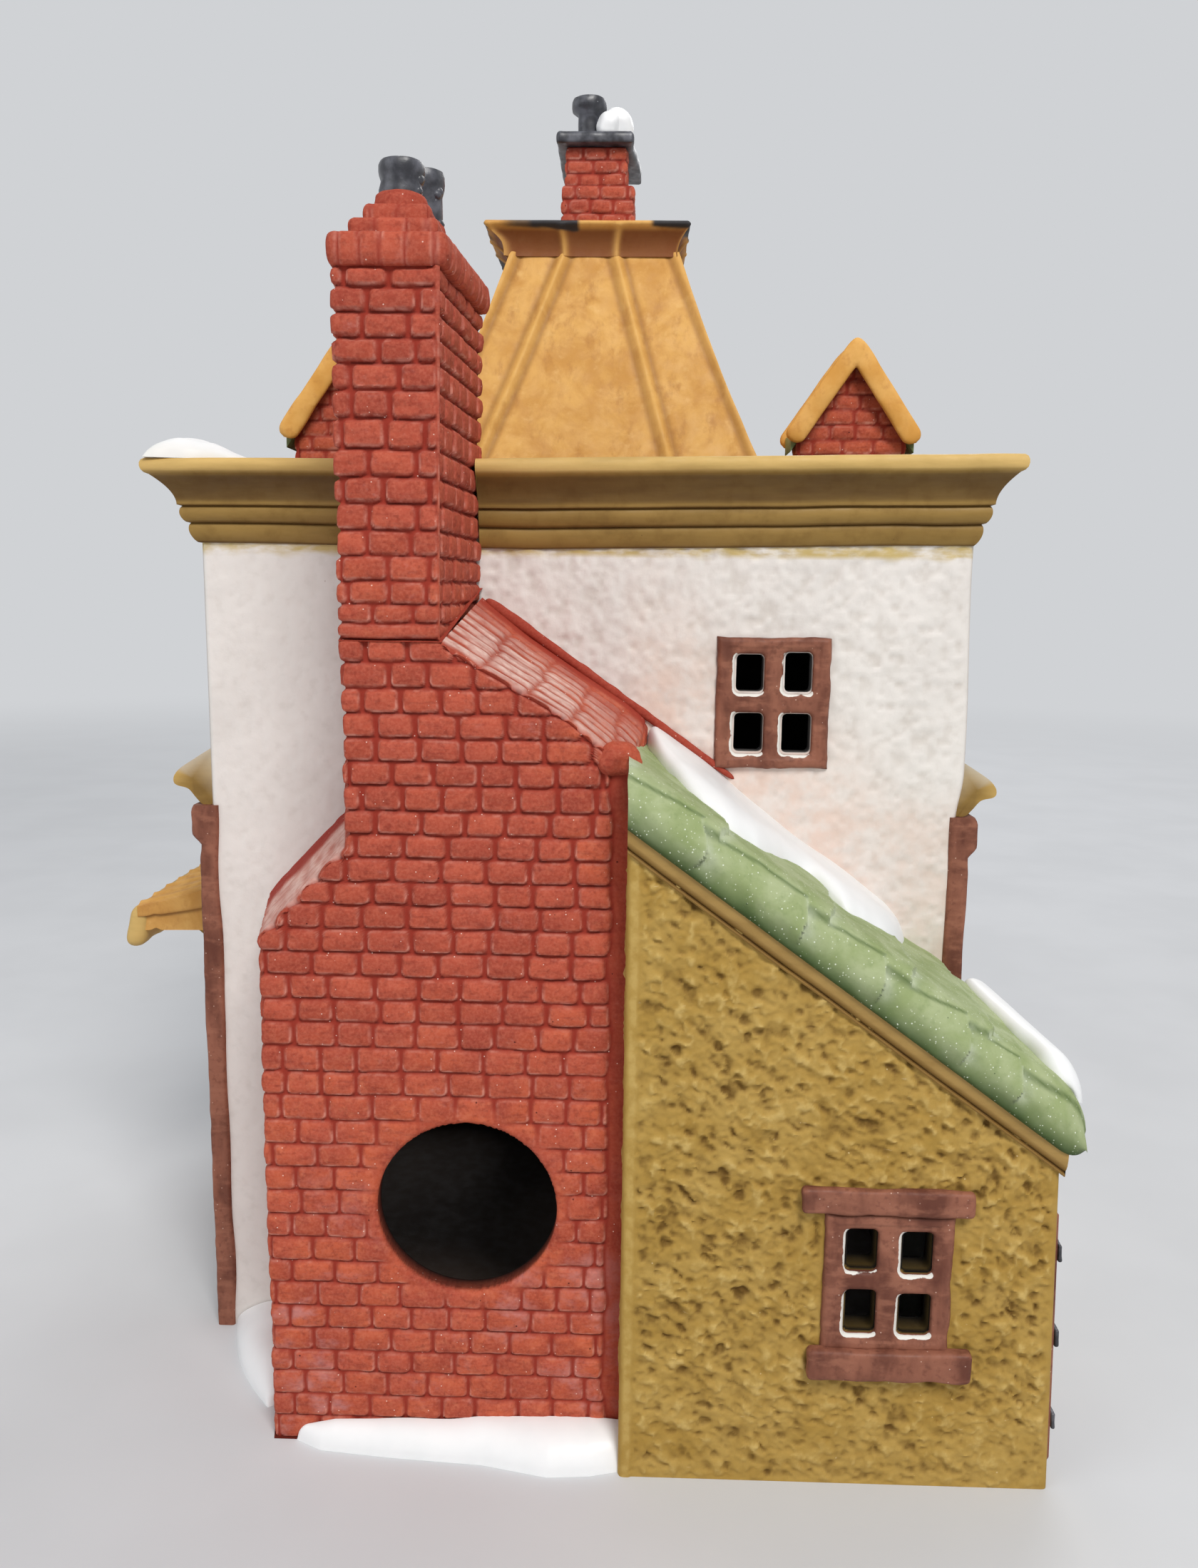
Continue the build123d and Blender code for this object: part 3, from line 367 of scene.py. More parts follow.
def closed_tower(soup, points, values, tips=None):
    """Rings of points, closed at both ends by fans to the tips, or to the middles of the rings."""
    tips = points.mean(1) if tips is None else tips
    first, last = (np.broadcast_to(tip, points[:1].shape) for tip in (tips[0], tips[-1]))
    padded = {k: np.concatenate([v[:1], v, v[-1:]]) for k, v in values.items()}
    return soup.grid(np.concatenate([first, points, last]), padded, close=True)


def tower(soup, s, xy, out, rows, relief):
    """Rings of one outline at the (offset, height) rows. relief gives a depth and values per (s, z)."""
    rows = np.array(rows, float)
    ss, zz = np.meshgrid(s, rows[:, 1])
    h, given = relief(ss, zz)
    flat = spread(xy, out, rows[:, :1] + h)
    given = {k: np.broadcast_to(v, ss.shape) for k, v in given.items()}
    return closed_tower(soup, raised(flat, zz), given, xyz(*xy.mean(0), rows[:, 1]))


def cap_ends(soup, p, values):
    """Closes both ends of a moulding whose profile runs down the rows of p."""
    for k, flip in ((0, True), (-1, False)):
        edge = np.concatenate([p[:, k], p[:1, k]])
        tip = np.broadcast_to(edge.mean(0), edge.shape)
        around = {n: np.concatenate([v[:, k], v[:1, k]]) for n, v in values.items()}
        soup.grid(np.stack([edge, tip], 1), {n: np.stack([v, v], 1) for n, v in around.items()}, flip=flip)


def sweep(soup, corners, z, profile, step, wobble, seed, values, sag=None):
    """A moulding: profile points (out, up) carried along a path in plan, with out to the right of the way."""
    c = np.array(corners, float)
    legs = np.diff(c, axis=0)
    outs = [np.array([g[1], -g[0]]) / np.hypot(*g) for g in legs]
    mitres = []
    for before, after in zip([outs[0]] + outs, outs + [outs[-1]]):
        m = before + after
        mitres.append(m / (m @ before))
    profile = np.array(profile, float)
    points = []
    for k, leg in enumerate(legs):
        share = np.linspace(0, 1, int(math.ceil(np.hypot(*leg) / step)) + 1)[:, None, None]
        start = c[k] + profile[:, :1] * mitres[k]
        end = c[k + 1] + profile[:, :1] * mitres[k + 1]
        points.append(lerp(start[None], end[None], share))
    flat = np.concatenate(points)
    up = np.broadcast_to(z + profile[:, 1], flat.shape[:2])
    p = raised(flat, up).transpose(1, 0, 2)
    proud = (profile[:, 0] > 0.3)[:, None]
    away = p - np.array([*c.mean(0), 0])
    away[..., 2] = 0
    away = unit(away, 1e-6)
    p = p + away * (wobble * noise(p, 7.0, seed) * proud)[..., None]
    p[..., 2] += 0.6 * wobble * noise(p, 9.0, seed + 3) * proud
    if sag:
        sag(p, profile[:, 1:])
    given = {k: np.broadcast_to(np.asarray(v, float)[:, None], p.shape[:2]) for k, v in values.items()}
    soup.grid(p, given)
    cap_ends(soup, p, given)
    return soup


def lathe(soup, centre, profile, segments=56, wobble=0.0, seed=0, values=None):
    """A turned form from (radius, height) points, bottom to top."""
    profile = np.array(profile, float)
    angle = np.linspace(0, 2 * np.pi, segments, endpoint=False)
    r, a = np.meshgrid(profile[:, 0], angle, indexing="ij")
    p = xyz(np.cos(a) * r, np.sin(a) * r, profile[:, 1:2]) + np.array(centre, float)
    if wobble:
        push = wobble * (noise(p, 3.0, seed) + 0.5 * noise(p, 1.5, seed + 1)) * ease(0, 1, r)
        p = p + xyz(np.cos(a), np.sin(a), 0.0) * push[..., None]
    return soup.grid(p, values, close=True)


def smooth_line(points, count):
    """A dense rounded line through a few (x, y) points."""
    p = np.array(points, float)
    at = np.concatenate([[0], np.cumsum(np.hypot(*np.diff(p, axis=0).T))])
    x = np.linspace(0, at[-1], count)
    k = np.clip(np.searchsorted(at, x, "right") - 1, 0, len(p) - 2)
    t = ((x - at[k]) / (at[k + 1] - at[k]))[:, None]
    before, after = p[np.maximum(k - 1, 0)], p[np.minimum(k + 2, len(p) - 1)]
    a, b = p[k], p[k + 1]
    return 0.5 * (2 * a + (b - before) * t + (2 * before - 5 * a + 4 * b - after) * t ** 2
                  + (3 * a - before - 3 * b + after) * t ** 3)


# Brickwork

class Bond:
    """Courses of uneven bricks over a strip, s along it and z up."""

    CORNER, SOFT, CROWN = 0.9, 0.46, 0.2

    def __init__(self, z_lines, low, high, length, seed, breaks=()):
        self.rng = np.random.default_rng(seed)
        self.z_lines = np.array(z_lines, float)
        self.seed = seed
        self.rows = []
        for k in range(len(self.z_lines) - 1):
            size = length(self.z_lines[k]) if callable(length) else length
            at = [low - size * (0.2 + 0.5 * (k % 2)) - size * self.rng.uniform(0, 0.25)]
            while at[-1] < high + size:
                at.append(at[-1] + size * self.rng.uniform(0.84, 1.16))
            at = np.array(at)
            for b in breaks:
                at = np.append(at[np.abs(at - b) > 0.22 * size], b)
            self.rows.append(np.sort(at))

    def relief(self, s, z, wide, high, depth, rim=None):
        """Depth below the brick faces, and the painter's values. wide and high are the upright and the level
        joints, and rim is the distance in from where the bricks stop."""
        shape = s.shape
        s0, z0 = s.ravel(), z.ravel()

        def uneven(size, k):
            return flat_noise(s0, z0, size, self.seed + k)

        s1 = s0 + 0.16 * uneven(5.0, 11) + 0.08 * uneven(1.6, 12)
        z1 = z0 + 0.2 * uneven(6.0, 13) + 0.08 * uneven(1.7, 14)
        k = np.clip(np.searchsorted(self.z_lines, z1, "right") - 1, 0, len(self.rows) - 1)
        dx, brick = np.zeros(s1.shape), np.zeros(s1.shape)
        for r, at in enumerate(self.rows):
            m = k == r
            b = np.clip(np.searchsorted(at, s1[m], "right") - 1, 0, len(at) - 2)
            dx[m] = np.minimum(s1[m] - at[b], at[b + 1] - s1[m])
            brick[m] = b
        below, above = z1 - self.z_lines[k], self.z_lines[k + 1] - z1
        wide, high, depth = (np.ravel(np.broadcast_to(x, shape)) for x in (wide, high, depth))
        a, b = dx - wide / 2, np.minimum(below, above) - high / 2
        if rim is not None:
            a = np.minimum(a, rim.ravel())
        d = self.CORNER - np.hypot(np.maximum(self.CORNER - a, 0), np.maximum(self.CORNER - b, 0))
        low_side = ease(-0.5, 0.5, (above - below) / (above + below))
        face = ease(-0.1, self.SOFT * lerp(1.3, 0.7, low_side), d)
        tone = 0.5 + 0.5 * lattice(k, brick, 5, self.seed)
        lift = 0.13 * lattice(k, brick, 7, self.seed)
        bulge = self.CROWN * ease(0, 1.7, np.minimum(a, b))
        grain = 0.05 * uneven(0.8, 15) + 0.04 * uneven(1.9, 16)
        stroke = 0.07 * ease(0.3, 0.6, flat_noise(s0 / 3.2, z0, 0.7, self.seed + 17))
        h = depth * (face - 1) + face * (lift + bulge - self.CROWN + grain - stroke)
        edge = lerp(0.5, 1.0, low_side) * bell(d - 0.25, 0.16)
        shade = ease(0.2, -0.12, d) * ease(0.3, -0.3, b - a) * low_side
        values = {"face": face, "edge": edge, "tone": tone, "shade": shade}
        return h.reshape(shape), {k: v.reshape(shape) for k, v in values.items()}


# Paints

# Near black for faces within the hollow casting: painted shade where little light reaches
INSIDE_SHADE = (15, 13, 12)


def srgb(r, g, b):
    """Colour as seen, 0 to 255, to the value that a shader takes."""
    lin = [x / 255 / 12.92 if x <= 10 else ((x / 255 + 0.055) / 1.055) ** 2.4 for x in (r, g, b)]
    return (*lin, 1)


class Paint:
    """A procedural paint: two first colours, then others laid over them, each on a share of the surface."""

    def __init__(self, name, roughness=0.7, specular=0.35, coat=0.0, coat_roughness=0.2):
        self.material = bpy.data.materials.new(name)
        self.material.use_nodes = True
        self.tree = self.material.node_tree
        self.tree.nodes.clear()
        self.shader = self.node("ShaderNodeBsdfPrincipled")
        self.end = self.node("ShaderNodeOutputMaterial")
        self.tree.links.new(self.shader.outputs["BSDF"], self.end.inputs["Surface"])
        self.shader.inputs["Roughness"].default_value = roughness
        self.shader.inputs["Specular IOR Level"].default_value = specular
        if coat:
            self.shader.inputs["Coat Weight"].default_value = coat
            self.shader.inputs["Coat Roughness"].default_value = coat_roughness
        self.place = self.node("ShaderNodeTexCoord").outputs["Object"]

    def node(self, kind, **settings):
        n = self.tree.nodes.new(kind)
        for k, v in settings.items():
            setattr(n, k, v)
        return n

    def feed(self, socket, value):
        if isinstance(value, bpy.types.NodeSocket):
            self.tree.links.new(value, socket)
        else:
            socket.default_value = value

    def value(self, name):
        """A value that the mesh holds at each point."""
        return self.node("ShaderNodeAttribute", attribute_name=name).outputs["Fac"]

    def math(self, what, a, b):
        n = self.node("ShaderNodeMath", operation=what)
        self.feed(n.inputs[0], a)
        self.feed(n.inputs[1], b)
        return n.outputs[0]

    def times(self, a, b):
        return self.math("MULTIPLY", a, b)

    def on(self, name, share):
        return self.times(self.value(name), share)

    def ramp(self, x, low, high, to_low=0.0, to_high=1.0):
        n = self.node("ShaderNodeMapRange", interpolation_type="SMOOTHSTEP")
        for socket, value in zip(n.inputs, (x, low, high, to_low, to_high)):
            self.feed(socket, value)
        return n.outputs[0]

    def noise(self, size, detail=4, roughness=0.55, stretch=None, twist=0.0):
        n = self.node("ShaderNodeTexNoise")
        place = self.place
        if stretch:
            mapped = self.node("ShaderNodeMapping")
            self.feed(mapped.inputs["Vector"], place)
            mapped.inputs["Scale"].default_value = stretch
            place = mapped.outputs["Vector"]
        self.feed(n.inputs["Vector"], place)
        n.inputs["Scale"].default_value = 1 / (size * MM)
        n.inputs["Detail"].default_value = detail
        n.inputs["Roughness"].default_value = roughness
        n.inputs["Distortion"].default_value = twist
        return n.outputs["Fac"]

    def patches(self, size, low, high, to_low=0.0, to_high=1.0, detail=4, roughness=0.55, **kind):
        """Noise of the given size, where low to high becomes to_low to to_high."""
        return self.ramp(self.noise(size, detail, roughness, **kind), low, high, to_low, to_high)

    def dots(self, size, radius, share):
        """1 in small round dots scattered at the given spacing, on a share of the places."""
        v = self.node("ShaderNodeTexVoronoi")
        self.feed(v.inputs["Vector"], self.place)
        v.inputs["Scale"].default_value = 1 / (size * MM)
        near = self.ramp(v.outputs["Distance"], radius / size, 0.6 * radius / size)
        parts = self.node("ShaderNodeSeparateColor")
        self.feed(parts.inputs["Color"], v.outputs["Color"])
        some = self.math("LESS_THAN", parts.outputs[0], share)
        return self.times(near, some)

    def mix(self, share, a, b):
        n = self.node("ShaderNodeMix", data_type="RGBA")
        for socket, value in zip((n.inputs[0], n.inputs[6], n.inputs[7]), (share, a, b)):
            self.feed(socket, value)
        return n.outputs[2]

    def first(self, share, a, b):
        self.colour = self.mix(share, srgb(*a), srgb(*b))

    def over(self, share, *colour):
        self.colour = self.mix(share, self.colour, srgb(*colour))

    def under(self, share, *colour):
        """Keeps the colours so far on the given share, and shows another elsewhere."""
        self.colour = self.mix(share, srgb(*colour), self.colour)

    def specks(self, size, radius, share, strength, *colour):
        self.over(self.times(self.dots(size, radius, share), strength), *colour)

    def bump(self, size, depth, strength, detail=4, roughness=0.6):
        n = self.node("ShaderNodeBump")
        n.inputs["Strength"].default_value = strength
        n.inputs["Distance"].default_value = depth * MM
        self.feed(n.inputs["Height"], self.noise(size, detail, roughness))
        self.feed(self.shader.inputs["Normal"], n.outputs["Normal"])

    def done(self, rough, grain, inside=False):
        """rough is (patch size, least, most), grain is what bump takes, and the last flag paints a hollow
        casting's hidden faces near black, as painted shade.
        """
        # Painted shade on the hidden faces
        if inside:
            self.over(self.value("inside"), *INSIDE_SHADE)
        self.feed(self.shader.inputs["Base Color"], self.colour)
        size, least, most = rough
        self.feed(self.shader.inputs["Roughness"], self.patches(size, 0.3, 0.7, least, most, 3))
        self.bump(*grain)
        return self.material


def brick_paint():
    p = Paint("brick_paint", specular=0.1)
    p.first(p.value("tone"), (158, 68, 53), (182, 84, 64))
    p.over(p.on("warm", p.patches(9, 0.3, 0.75)), 204, 100, 66)
    p.over(p.patches(3.2, 0.42, 0.75, 0, 0.45), 142, 58, 46)
    p.over(p.patches(1.0, 0.5, 0.75, 0, 0.5, stretch=(0.3, 0.3, 1.5)), 134, 54, 44)
    p.over(p.on("warm", p.patches(1.4, 0.5, 0.8, 0, 0.5)), 216, 128, 94)
    p.over(p.patches(0.5, 0.35, 0.7, 0, 0.28, 3), 208, 120, 96)
    p.over(p.patches(0.8, 0.52, 0.7, 0, 0.3, 3, 0.6), 120, 46, 36)
    smear = p.patches(7, 0.52, 0.72, 0, 0.55, 5, 0.65, stretch=(0.6, 1, 1))
    p.over(p.on("faded", smear), 196, 142, 140)
    # The joints, their shadows, and what is brushed over the faces
    p.under(p.value("face"), 150, 55, 42)
    p.over(p.on("shade", 0.78), 92, 32, 26)
    p.over(p.on("edge", p.patches(2.4, 0.42, 0.66, 0.08, 0.72, roughness=0.6)), 228, 164, 146)
    scuffed = p.times(p.patches(5, 0.56, 0.74, detail=5, roughness=0.65), p.value("face"))
    scuffed = p.times(scuffed, p.patches(0.9, 0.45, 0.75, 0, 0.36, 3, stretch=(0.5, 1, 1)))
    p.over(scuffed, 206, 150, 142)
    p.over(p.on("pale", p.patches(1.6, 0.25, 0.7, 0.5, 1.0)), 232, 200, 188)
    p.over(p.value("line"), 152, 54, 44)
    p.specks(1.2, 0.13, 0.36, 0.8, 240, 208, 194)
    p.specks(3.1, 0.2, 0.3, 0.8, 70, 26, 24)
    return p.done((2.2, 0.66, 0.84), (0.55, 0.12, 0.55), inside=True)


def white_paint():
    p = Paint("white_stucco_paint", specular=0.4)
    p.first(p.patches(14, 0.35, 0.7), (232, 226, 220), (225, 219, 213))
    p.over(p.patches(2.4, 0.48, 0.78, 0, 0.35), 206, 198, 190)
    # Painted shade in the low places of the stucco
    p.over(p.on("low", 0.38), 190, 178, 166)
    peach = p.on("peach", p.patches(4, 0.3, 0.7, 0.3, 1.0))
    p.over(p.times(peach, 0.72), 226, 194, 176)
    p.over(p.on("yellow", p.patches(2.5, 0.3, 0.6, stretch=(0.35, 1, 1))), 196, 172, 112)
    p.over(p.value("brown"), 112, 68, 58)
    p.specks(6.0, 0.16, 0.35, 0.5, 150, 120, 100)
    return p.done((3, 0.5, 0.66), (0.7, 0.1, 0.4), inside=True)


def olive_stucco_paint():
    p = Paint("olive_stucco_paint", specular=0.16)
    p.first(p.patches(7, 0.3, 0.7), (168, 134, 64), (180, 147, 78))
    p.over(p.patches(2.2, 0.45, 0.75, 0, 0.4), 154, 119, 52)
    # Painted shade in the pits and painted highlight on the raised stucco
    p.over(p.on("pit", p.patches(1.5, 0.25, 0.65, 0.6, 1.0, 3)), 104, 75, 30)
    p.over(p.on("high", p.patches(1.8, 0.35, 0.65, 0.1, 0.75, 3)), 206, 176, 108)
    scratch = p.patches(0.9, 0.68, 0.76, 0, 0.4, 3, 0.6, stretch=(0.4, 0.4, 1.5))
    p.over(p.times(scratch, p.patches(9, 0.5, 0.65, detail=3)), 222, 206, 170)
    p.specks(2.6, 0.16, 0.3, 0.6, 226, 206, 160)
    return p.done((2, 0.6, 0.8), (0.5, 0.12, 0.5), inside=True)


def olive_trim_paint():
    p = Paint("olive_trim_paint")
    streak = p.noise(5, roughness=0.6, stretch=(0.18, 0.18, 1.2))
    p.first(p.ramp(streak, 0.3, 0.7), (152, 120, 56), (172, 138, 70))
    p.over(p.patches(3, 0.45, 0.8, 0, 0.5), 126, 95, 42)
    p.over(p.on("warm", 0.7), 176, 132, 66)
    # Painted shade in grooves and undersides, and painted highlight on what catches the light
    p.over(p.on("recess", p.ramp(streak, 0.2, 0.7, 1.0, 0.8)), 84, 56, 22)
    p.over(p.on("light", p.ramp(streak, 0.25, 0.7, 0.5, 1.0)), 216, 180, 110)
    p.over(p.value("frost"), 212, 204, 188)
    p.specks(4.5, 0.15, 0.3, 0.5, 90, 68, 30)
    return p.done((3, 0.5, 0.7), (0.8, 0.1, 0.4))


def green_paint():
    p = Paint("green_tile_paint", specular=0.3)
    p.first(p.patches(6, 0.3, 0.7, twist=0.4), (150, 164, 110), (178, 188, 144))
    # Painted shade on the undersides
    p.over(p.value("under"), 56, 78, 34)
    p.over(p.on("seam", 0.85), 82, 102, 54)
    dry = p.on("lip", p.patches(2.4, 0.25, 0.6, detail=5, roughness=0.65))
    p.over(p.times(dry, 0.8), 194, 202, 176)
    p.over(p.patches(1.2, 0.5, 0.8, 0, 0.3), 100, 122, 66)
    p.specks(1.0, 0.15, 0.6, 0.85, 226, 232, 212)
    p.specks(0.62, 0.12, 0.5, 0.7, 216, 224, 198)
    p.specks(2.6, 0.16, 0.35, 0.75, 46, 66, 36)
    return p.done((2, 0.62, 0.8), (0.6, 0.12, 0.5))


def snow_paint():
    p = Paint("snow_glaze", specular=0.3, coat=0.12)
    p.first(p.patches(9, 0.35, 0.7, detail=3), (244, 244, 244), (239, 240, 240))
    p.over(p.value("tint"), 214, 208, 190)
    return p.done((4, 0.38, 0.52), (2.6, 0.12, 0.25, 2, 0.5))


def copper_paint():
    p = Paint("copper_paint")
    p.first(p.patches(8, 0.34, 0.66, detail=5, roughness=0.6, twist=0.5), (200, 144, 70), (222, 170, 94))
    p.over(p.patches(3.4, 0.5, 0.72, 0, 0.55, 5, 0.65, stretch=(1, 1, 0.5)), 170, 112, 52)
    p.over(p.patches(2, 0.55, 0.78, 0, 0.4), 232, 188, 118)
    # Painted shade in hollows, painted highlight on ribs, and painted shade on the curb's lower flare
    p.over(p.on("recess", 0.75), 132, 84, 34)
    p.over(p.on("light", 0.6), 228, 178, 96)
    p.over(p.on("ruddy", 0.9), 116, 58, 24)
    p.over(p.value("dark"), 48, 46, 48)
    return p.done((3, 0.55, 0.75), (0.8, 0.1, 0.4))


def ochre_paint():
    p = Paint("ochre_trim_paint")
    p.first(p.patches(5, 0.3, 0.7), (214, 154, 70), (230, 176, 96))
    p.over(p.patches(1.6, 0.5, 0.75, 0, 0.4), 186, 118, 52)
    return p.done((3, 0.55, 0.72), (0.8, 0.1, 0.4))


def brown_paint():
    p = Paint("brown_trim_paint", specular=0.22)
    p.first(p.patches(6, 0.35, 0.65, stretch=(1, 1, 0.4)), (102, 59, 46), (148, 95, 75))
    p.over(p.patches(1.8, 0.48, 0.7, 0, 0.6, stretch=(0.35, 1, 1)), 160, 106, 84)
    p.over(p.patches(1.1, 0.5, 0.75, 0, 0.5), 92, 50, 40)
    # Painted shade on the low parts of frames and doors
    p.over(p.on("recess", 0.5), 78, 42, 36)
    p.specks(1.2, 0.14, 0.4, 0.75, 212, 178, 160)
    bare = p.math("ADD", p.value("chip"), p.times(p.noise(1.5), 0.9))
    p.over(p.ramp(bare, 0.98, 1.1), 232, 228, 220)
    return p.done((2, 0.45, 0.66), (0.6, 0.1, 0.45), inside=True)


def black_paint():
    p = Paint("black_paint", specular=0.5, coat=0.25, coat_roughness=0.3)
    p.first(p.patches(3, 0.35, 0.7), (36, 37, 44), (90, 91, 99))
    p.specks(1.6, 0.15, 0.28, 0.8, 190, 192, 196)
    return p.done((2, 0.34, 0.55), (0.9, 0.12, 0.5))


def plain_clay(name, first, second, up_colour=None):
    """Bare or thinly painted clay, darker on what faces up if a colour is given for that."""
    p = Paint(name)
    p.first(p.patches(7, 0.3, 0.7), first, second)
    p.specks(3.2, 0.16, 0.3, 0.5, 120, 110, 98)
    if up_colour:
        facing = p.node("ShaderNodeSeparateXYZ")
        p.feed(facing.inputs[0], p.node("ShaderNodeNewGeometry").outputs["Normal"])
        p.over(p.ramp(facing.outputs["Z"], 0.5, 0.8), *up_colour)
    return p.done((2.5, 0.6, 0.8), (0.7, 0.1, 0.45))


# One paint for each slot
PAINTS = {
    "brick": brick_paint(),
    "white_stucco": white_paint(),
    "olive_stucco": olive_stucco_paint(),
    "olive_trim": olive_trim_paint(),
    "green_tile": green_paint(),
    "snow_glaze": snow_paint(),
    "copper_paint": copper_paint(),
    "ochre_trim": ochre_paint(),
    "brown_trim": brown_paint(),
    "black_paint": black_paint(),
    "stone_paint": plain_clay("stone_paint", (150, 146, 138), (168, 162, 152)),
}
CLAY = plain_clay("bare_porcelain", (150, 142, 132), (136, 128, 118), (88, 74, 66))
DECK = plain_clay("deck_grey_paint", (120, 112, 88), (134, 124, 96))


# House sizes

class Box:
    """Where a node of the frame lies, to a tenth of a millimetre: its sides, its middle and its size."""

    def __init__(self, node):
        points = np.array([v.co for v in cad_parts[node].data.vertices]) / MM
        low, high = points.min(0), points.max(0)
        self.left, self.near, self.low = low.round(1).tolist()
        self.right, self.far, self.high = high.round(1).tolist()
        self.x, self.y, self.z = ((low + high) / 2).round(1).tolist()
        self.wide, self.deep, self.tall = (high - low).round(1).tolist()


# Half the main block's width and depth, its walls and its heights
REAR, CORNICE = Box("rear_wall"), Box("cornice")
HALF, DEEP, WALL = REAR.right, -REAR.near, REAR.deep
EAVES, ROOF, WALL_TOP = CORNICE.low, CORNICE.high, REAR.high
# Places of the windows, and the heights of those upstairs and in the shop
WINDOW, SIDE_WINDOW, LEAN_BOX = Box("window_rear"), Box("window_right"), Box("window_leanto")
UPPER, SHOP_UP, SIDE_WINDOW_Y = SIDE_WINDOW.z, Box("shop_window_left").z, SIDE_WINDOW.y
FRONT_WINDOWS, SHOP_WINDOWS = ([Box(f"{name}_{side}").x for side in ("left", "right")]
                               for name in ("window_front_upper", "shop_window"))
REAR_WINDOW, LEAN_WINDOW = (WINDOW.x, WINDOW.z), (LEAN_BOX.x, LEAN_BOX.z)
# Panes as (width, height, corner radius), their pitch, and frames as (width, height, depth)
PANE = (5.0, 7.0, 0.9)
PITCH = (8.7, 10.6)
FRAME = (WINDOW.wide, WINDOW.tall, WINDOW.deep)
SHOP_PANES = {"pitch": (13, 15.6), "columns": 3, "rows": 4}
OPENING_SHIFT = (0.15, 0.1)
# The lean-to, and the fall of its roof from the verge to the eave
LEAN = Box("leanto_walls")
LEAN_LEFT, LEAN_RIGHT, LEAN_FRONT, LEAN_DEEP = LEAN.left, LEAN.right, LEAN.near, LEAN.deep
FALL, VERGE, EAVE, ROOF_THICK = 0.7295, LEAN.high, 59.1, 9.0


def panes(u, v, size=PANE, pitch=PITCH, columns=2, rows=2, seed=0):
    rng = np.random.default_rng(seed)
    made = []
    for i in range(columns):
        for j in range(rows):
            x = u + (i - (columns - 1) / 2) * pitch[0] + rng.uniform(-0.15, 0.15)
            y = v + (j - (rows - 1) / 2) * pitch[1] + rng.uniform(-0.2, 0.2)
            made.append((x, y, size[0] + rng.uniform(-0.3, 0.3), size[1] + rng.uniform(-0.4, 0.3), size[2]))
    return made


# Walls of the main block

def stucco(amount, seed):
    def relief(u, v):
        big = flat_noise(u, v, 2.3, seed)
        mid = flat_noise(u + 0.4 * big, v, 1.25, seed + 1)
        fine = flat_noise(u, v, 0.75, seed + 2)
        return amount(u, v) * (0.55 * big + 0.75 * mid + 0.35 * fine)
    return relief


def wall(name, side, origin, width, openings, amount, seed, step, paint=None):
    rough = stucco(amount, seed)
    corner_dip = 0.5 if side in ("rear", "front") else 0.0

    def relief(u, v):
        rim = np.minimum(u, width - u)
        return rough(u, v) * ease(0.2, 2.0, rim) - corner_dip * (1 - rounded(rim, 0.7))

    def values(u, v, h):
        # The relief's low places, painted darker as shade
        given = {"low": ease(0.02, -0.22, h)}
        given.update(paint(u, v) if paint else {})
        return given

    soup = panel(Soup(), side, origin, width, WALL_TOP, step, WALL, relief, boxes_keep(*openings), values)
    for p in soup.points:
        lean = 1.1 * ease(104, 113, p[:, 2]) * lerp(1, 0.3, ease(118, 150, p[:, 2]))
        p[:, 0] += lean * ease(60, HALF, p[:, 0]) * ease(-25, -46, p[:, 1])
    soup.make(name + "_stucco", "white_stucco", name, sharp=50)


def even(amount):
    return lambda u, v: amount + 0 * u


def rear_amount(u, v):
    x = u - HALF
    return lerp(0.07, 0.24, ease(-46, -8, x)) * lerp(0.7, 1.0, ease(40, 90, v))


def rear_paint(u, v):
    x = u - HALF
    drop = (x - LEAN_LEFT) * FALL + v
    near_roof = ease(34, 0, np.abs(drop - 126)) * ease(5, 14, x) * ease(66, 40, x)
    right = ease(38, 66, x) * ease(112, 104, v) * ease(52, 64, v)
    under = ease(150.6 + 0.9 * flat_noise(u, v, 3, 31), 151.6, v)
    lap = 0.3 * ease(99, 96, v) + 0.25 * line_noise(v, 4, 5)
    return {"peach": np.clip(0.95 * near_roof + 0.6 * right, 0, 1), "yellow": under,
            "brown": ease(0.15, -0.1, HALF - np.abs(x) - lap) * ease(105, 104.4, v)}


# Openings into the chimney breast and the lean-to
REAR_OPENINGS = [(HALF - 21.1, 43.65, 51, 81.3, 0.5), (HALF + 38.6, 29.5, 40, 53, 0.5)]
REAR_OPENINGS += panes(HALF + REAR_WINDOW[0] + OPENING_SHIFT[0], REAR_WINDOW[1] + OPENING_SHIFT[1], seed=81)
wall("rear_wall", "rear", (-HALF, -DEEP, 0), 2 * HALF, REAR_OPENINGS, rear_amount, 21, 0.45, rear_paint)


def front_panes():
    made = []
    for x in FRONT_WINDOWS:
        made += panes(HALF + x, UPPER, seed=5)
    for x in SHOP_WINDOWS:
        made += panes(HALF + x, SHOP_UP, (10.0, 12.6, 1.0), seed=6, **SHOP_PANES)
    return made


wall("front_wall", "front", (HALF, DEEP, 0), 2 * HALF, front_panes(), even(0.15), 23, 0.6)
for name, side, x, seed in (("right_wall", "right", HALF, 25), ("left_wall", "left", -HALF, 27)):
    start = -(DEEP - WALL) if side == "right" else DEEP - WALL
    middle = (DEEP - WALL) + (SIDE_WINDOW_Y if side == "right" else -SIDE_WINDOW_Y)
    wall(name, side, (x, start, 0), 2 * (DEEP - WALL), panes(middle, UPPER, seed=seed), even(0.16), seed, 0.6)


# Chimney breast

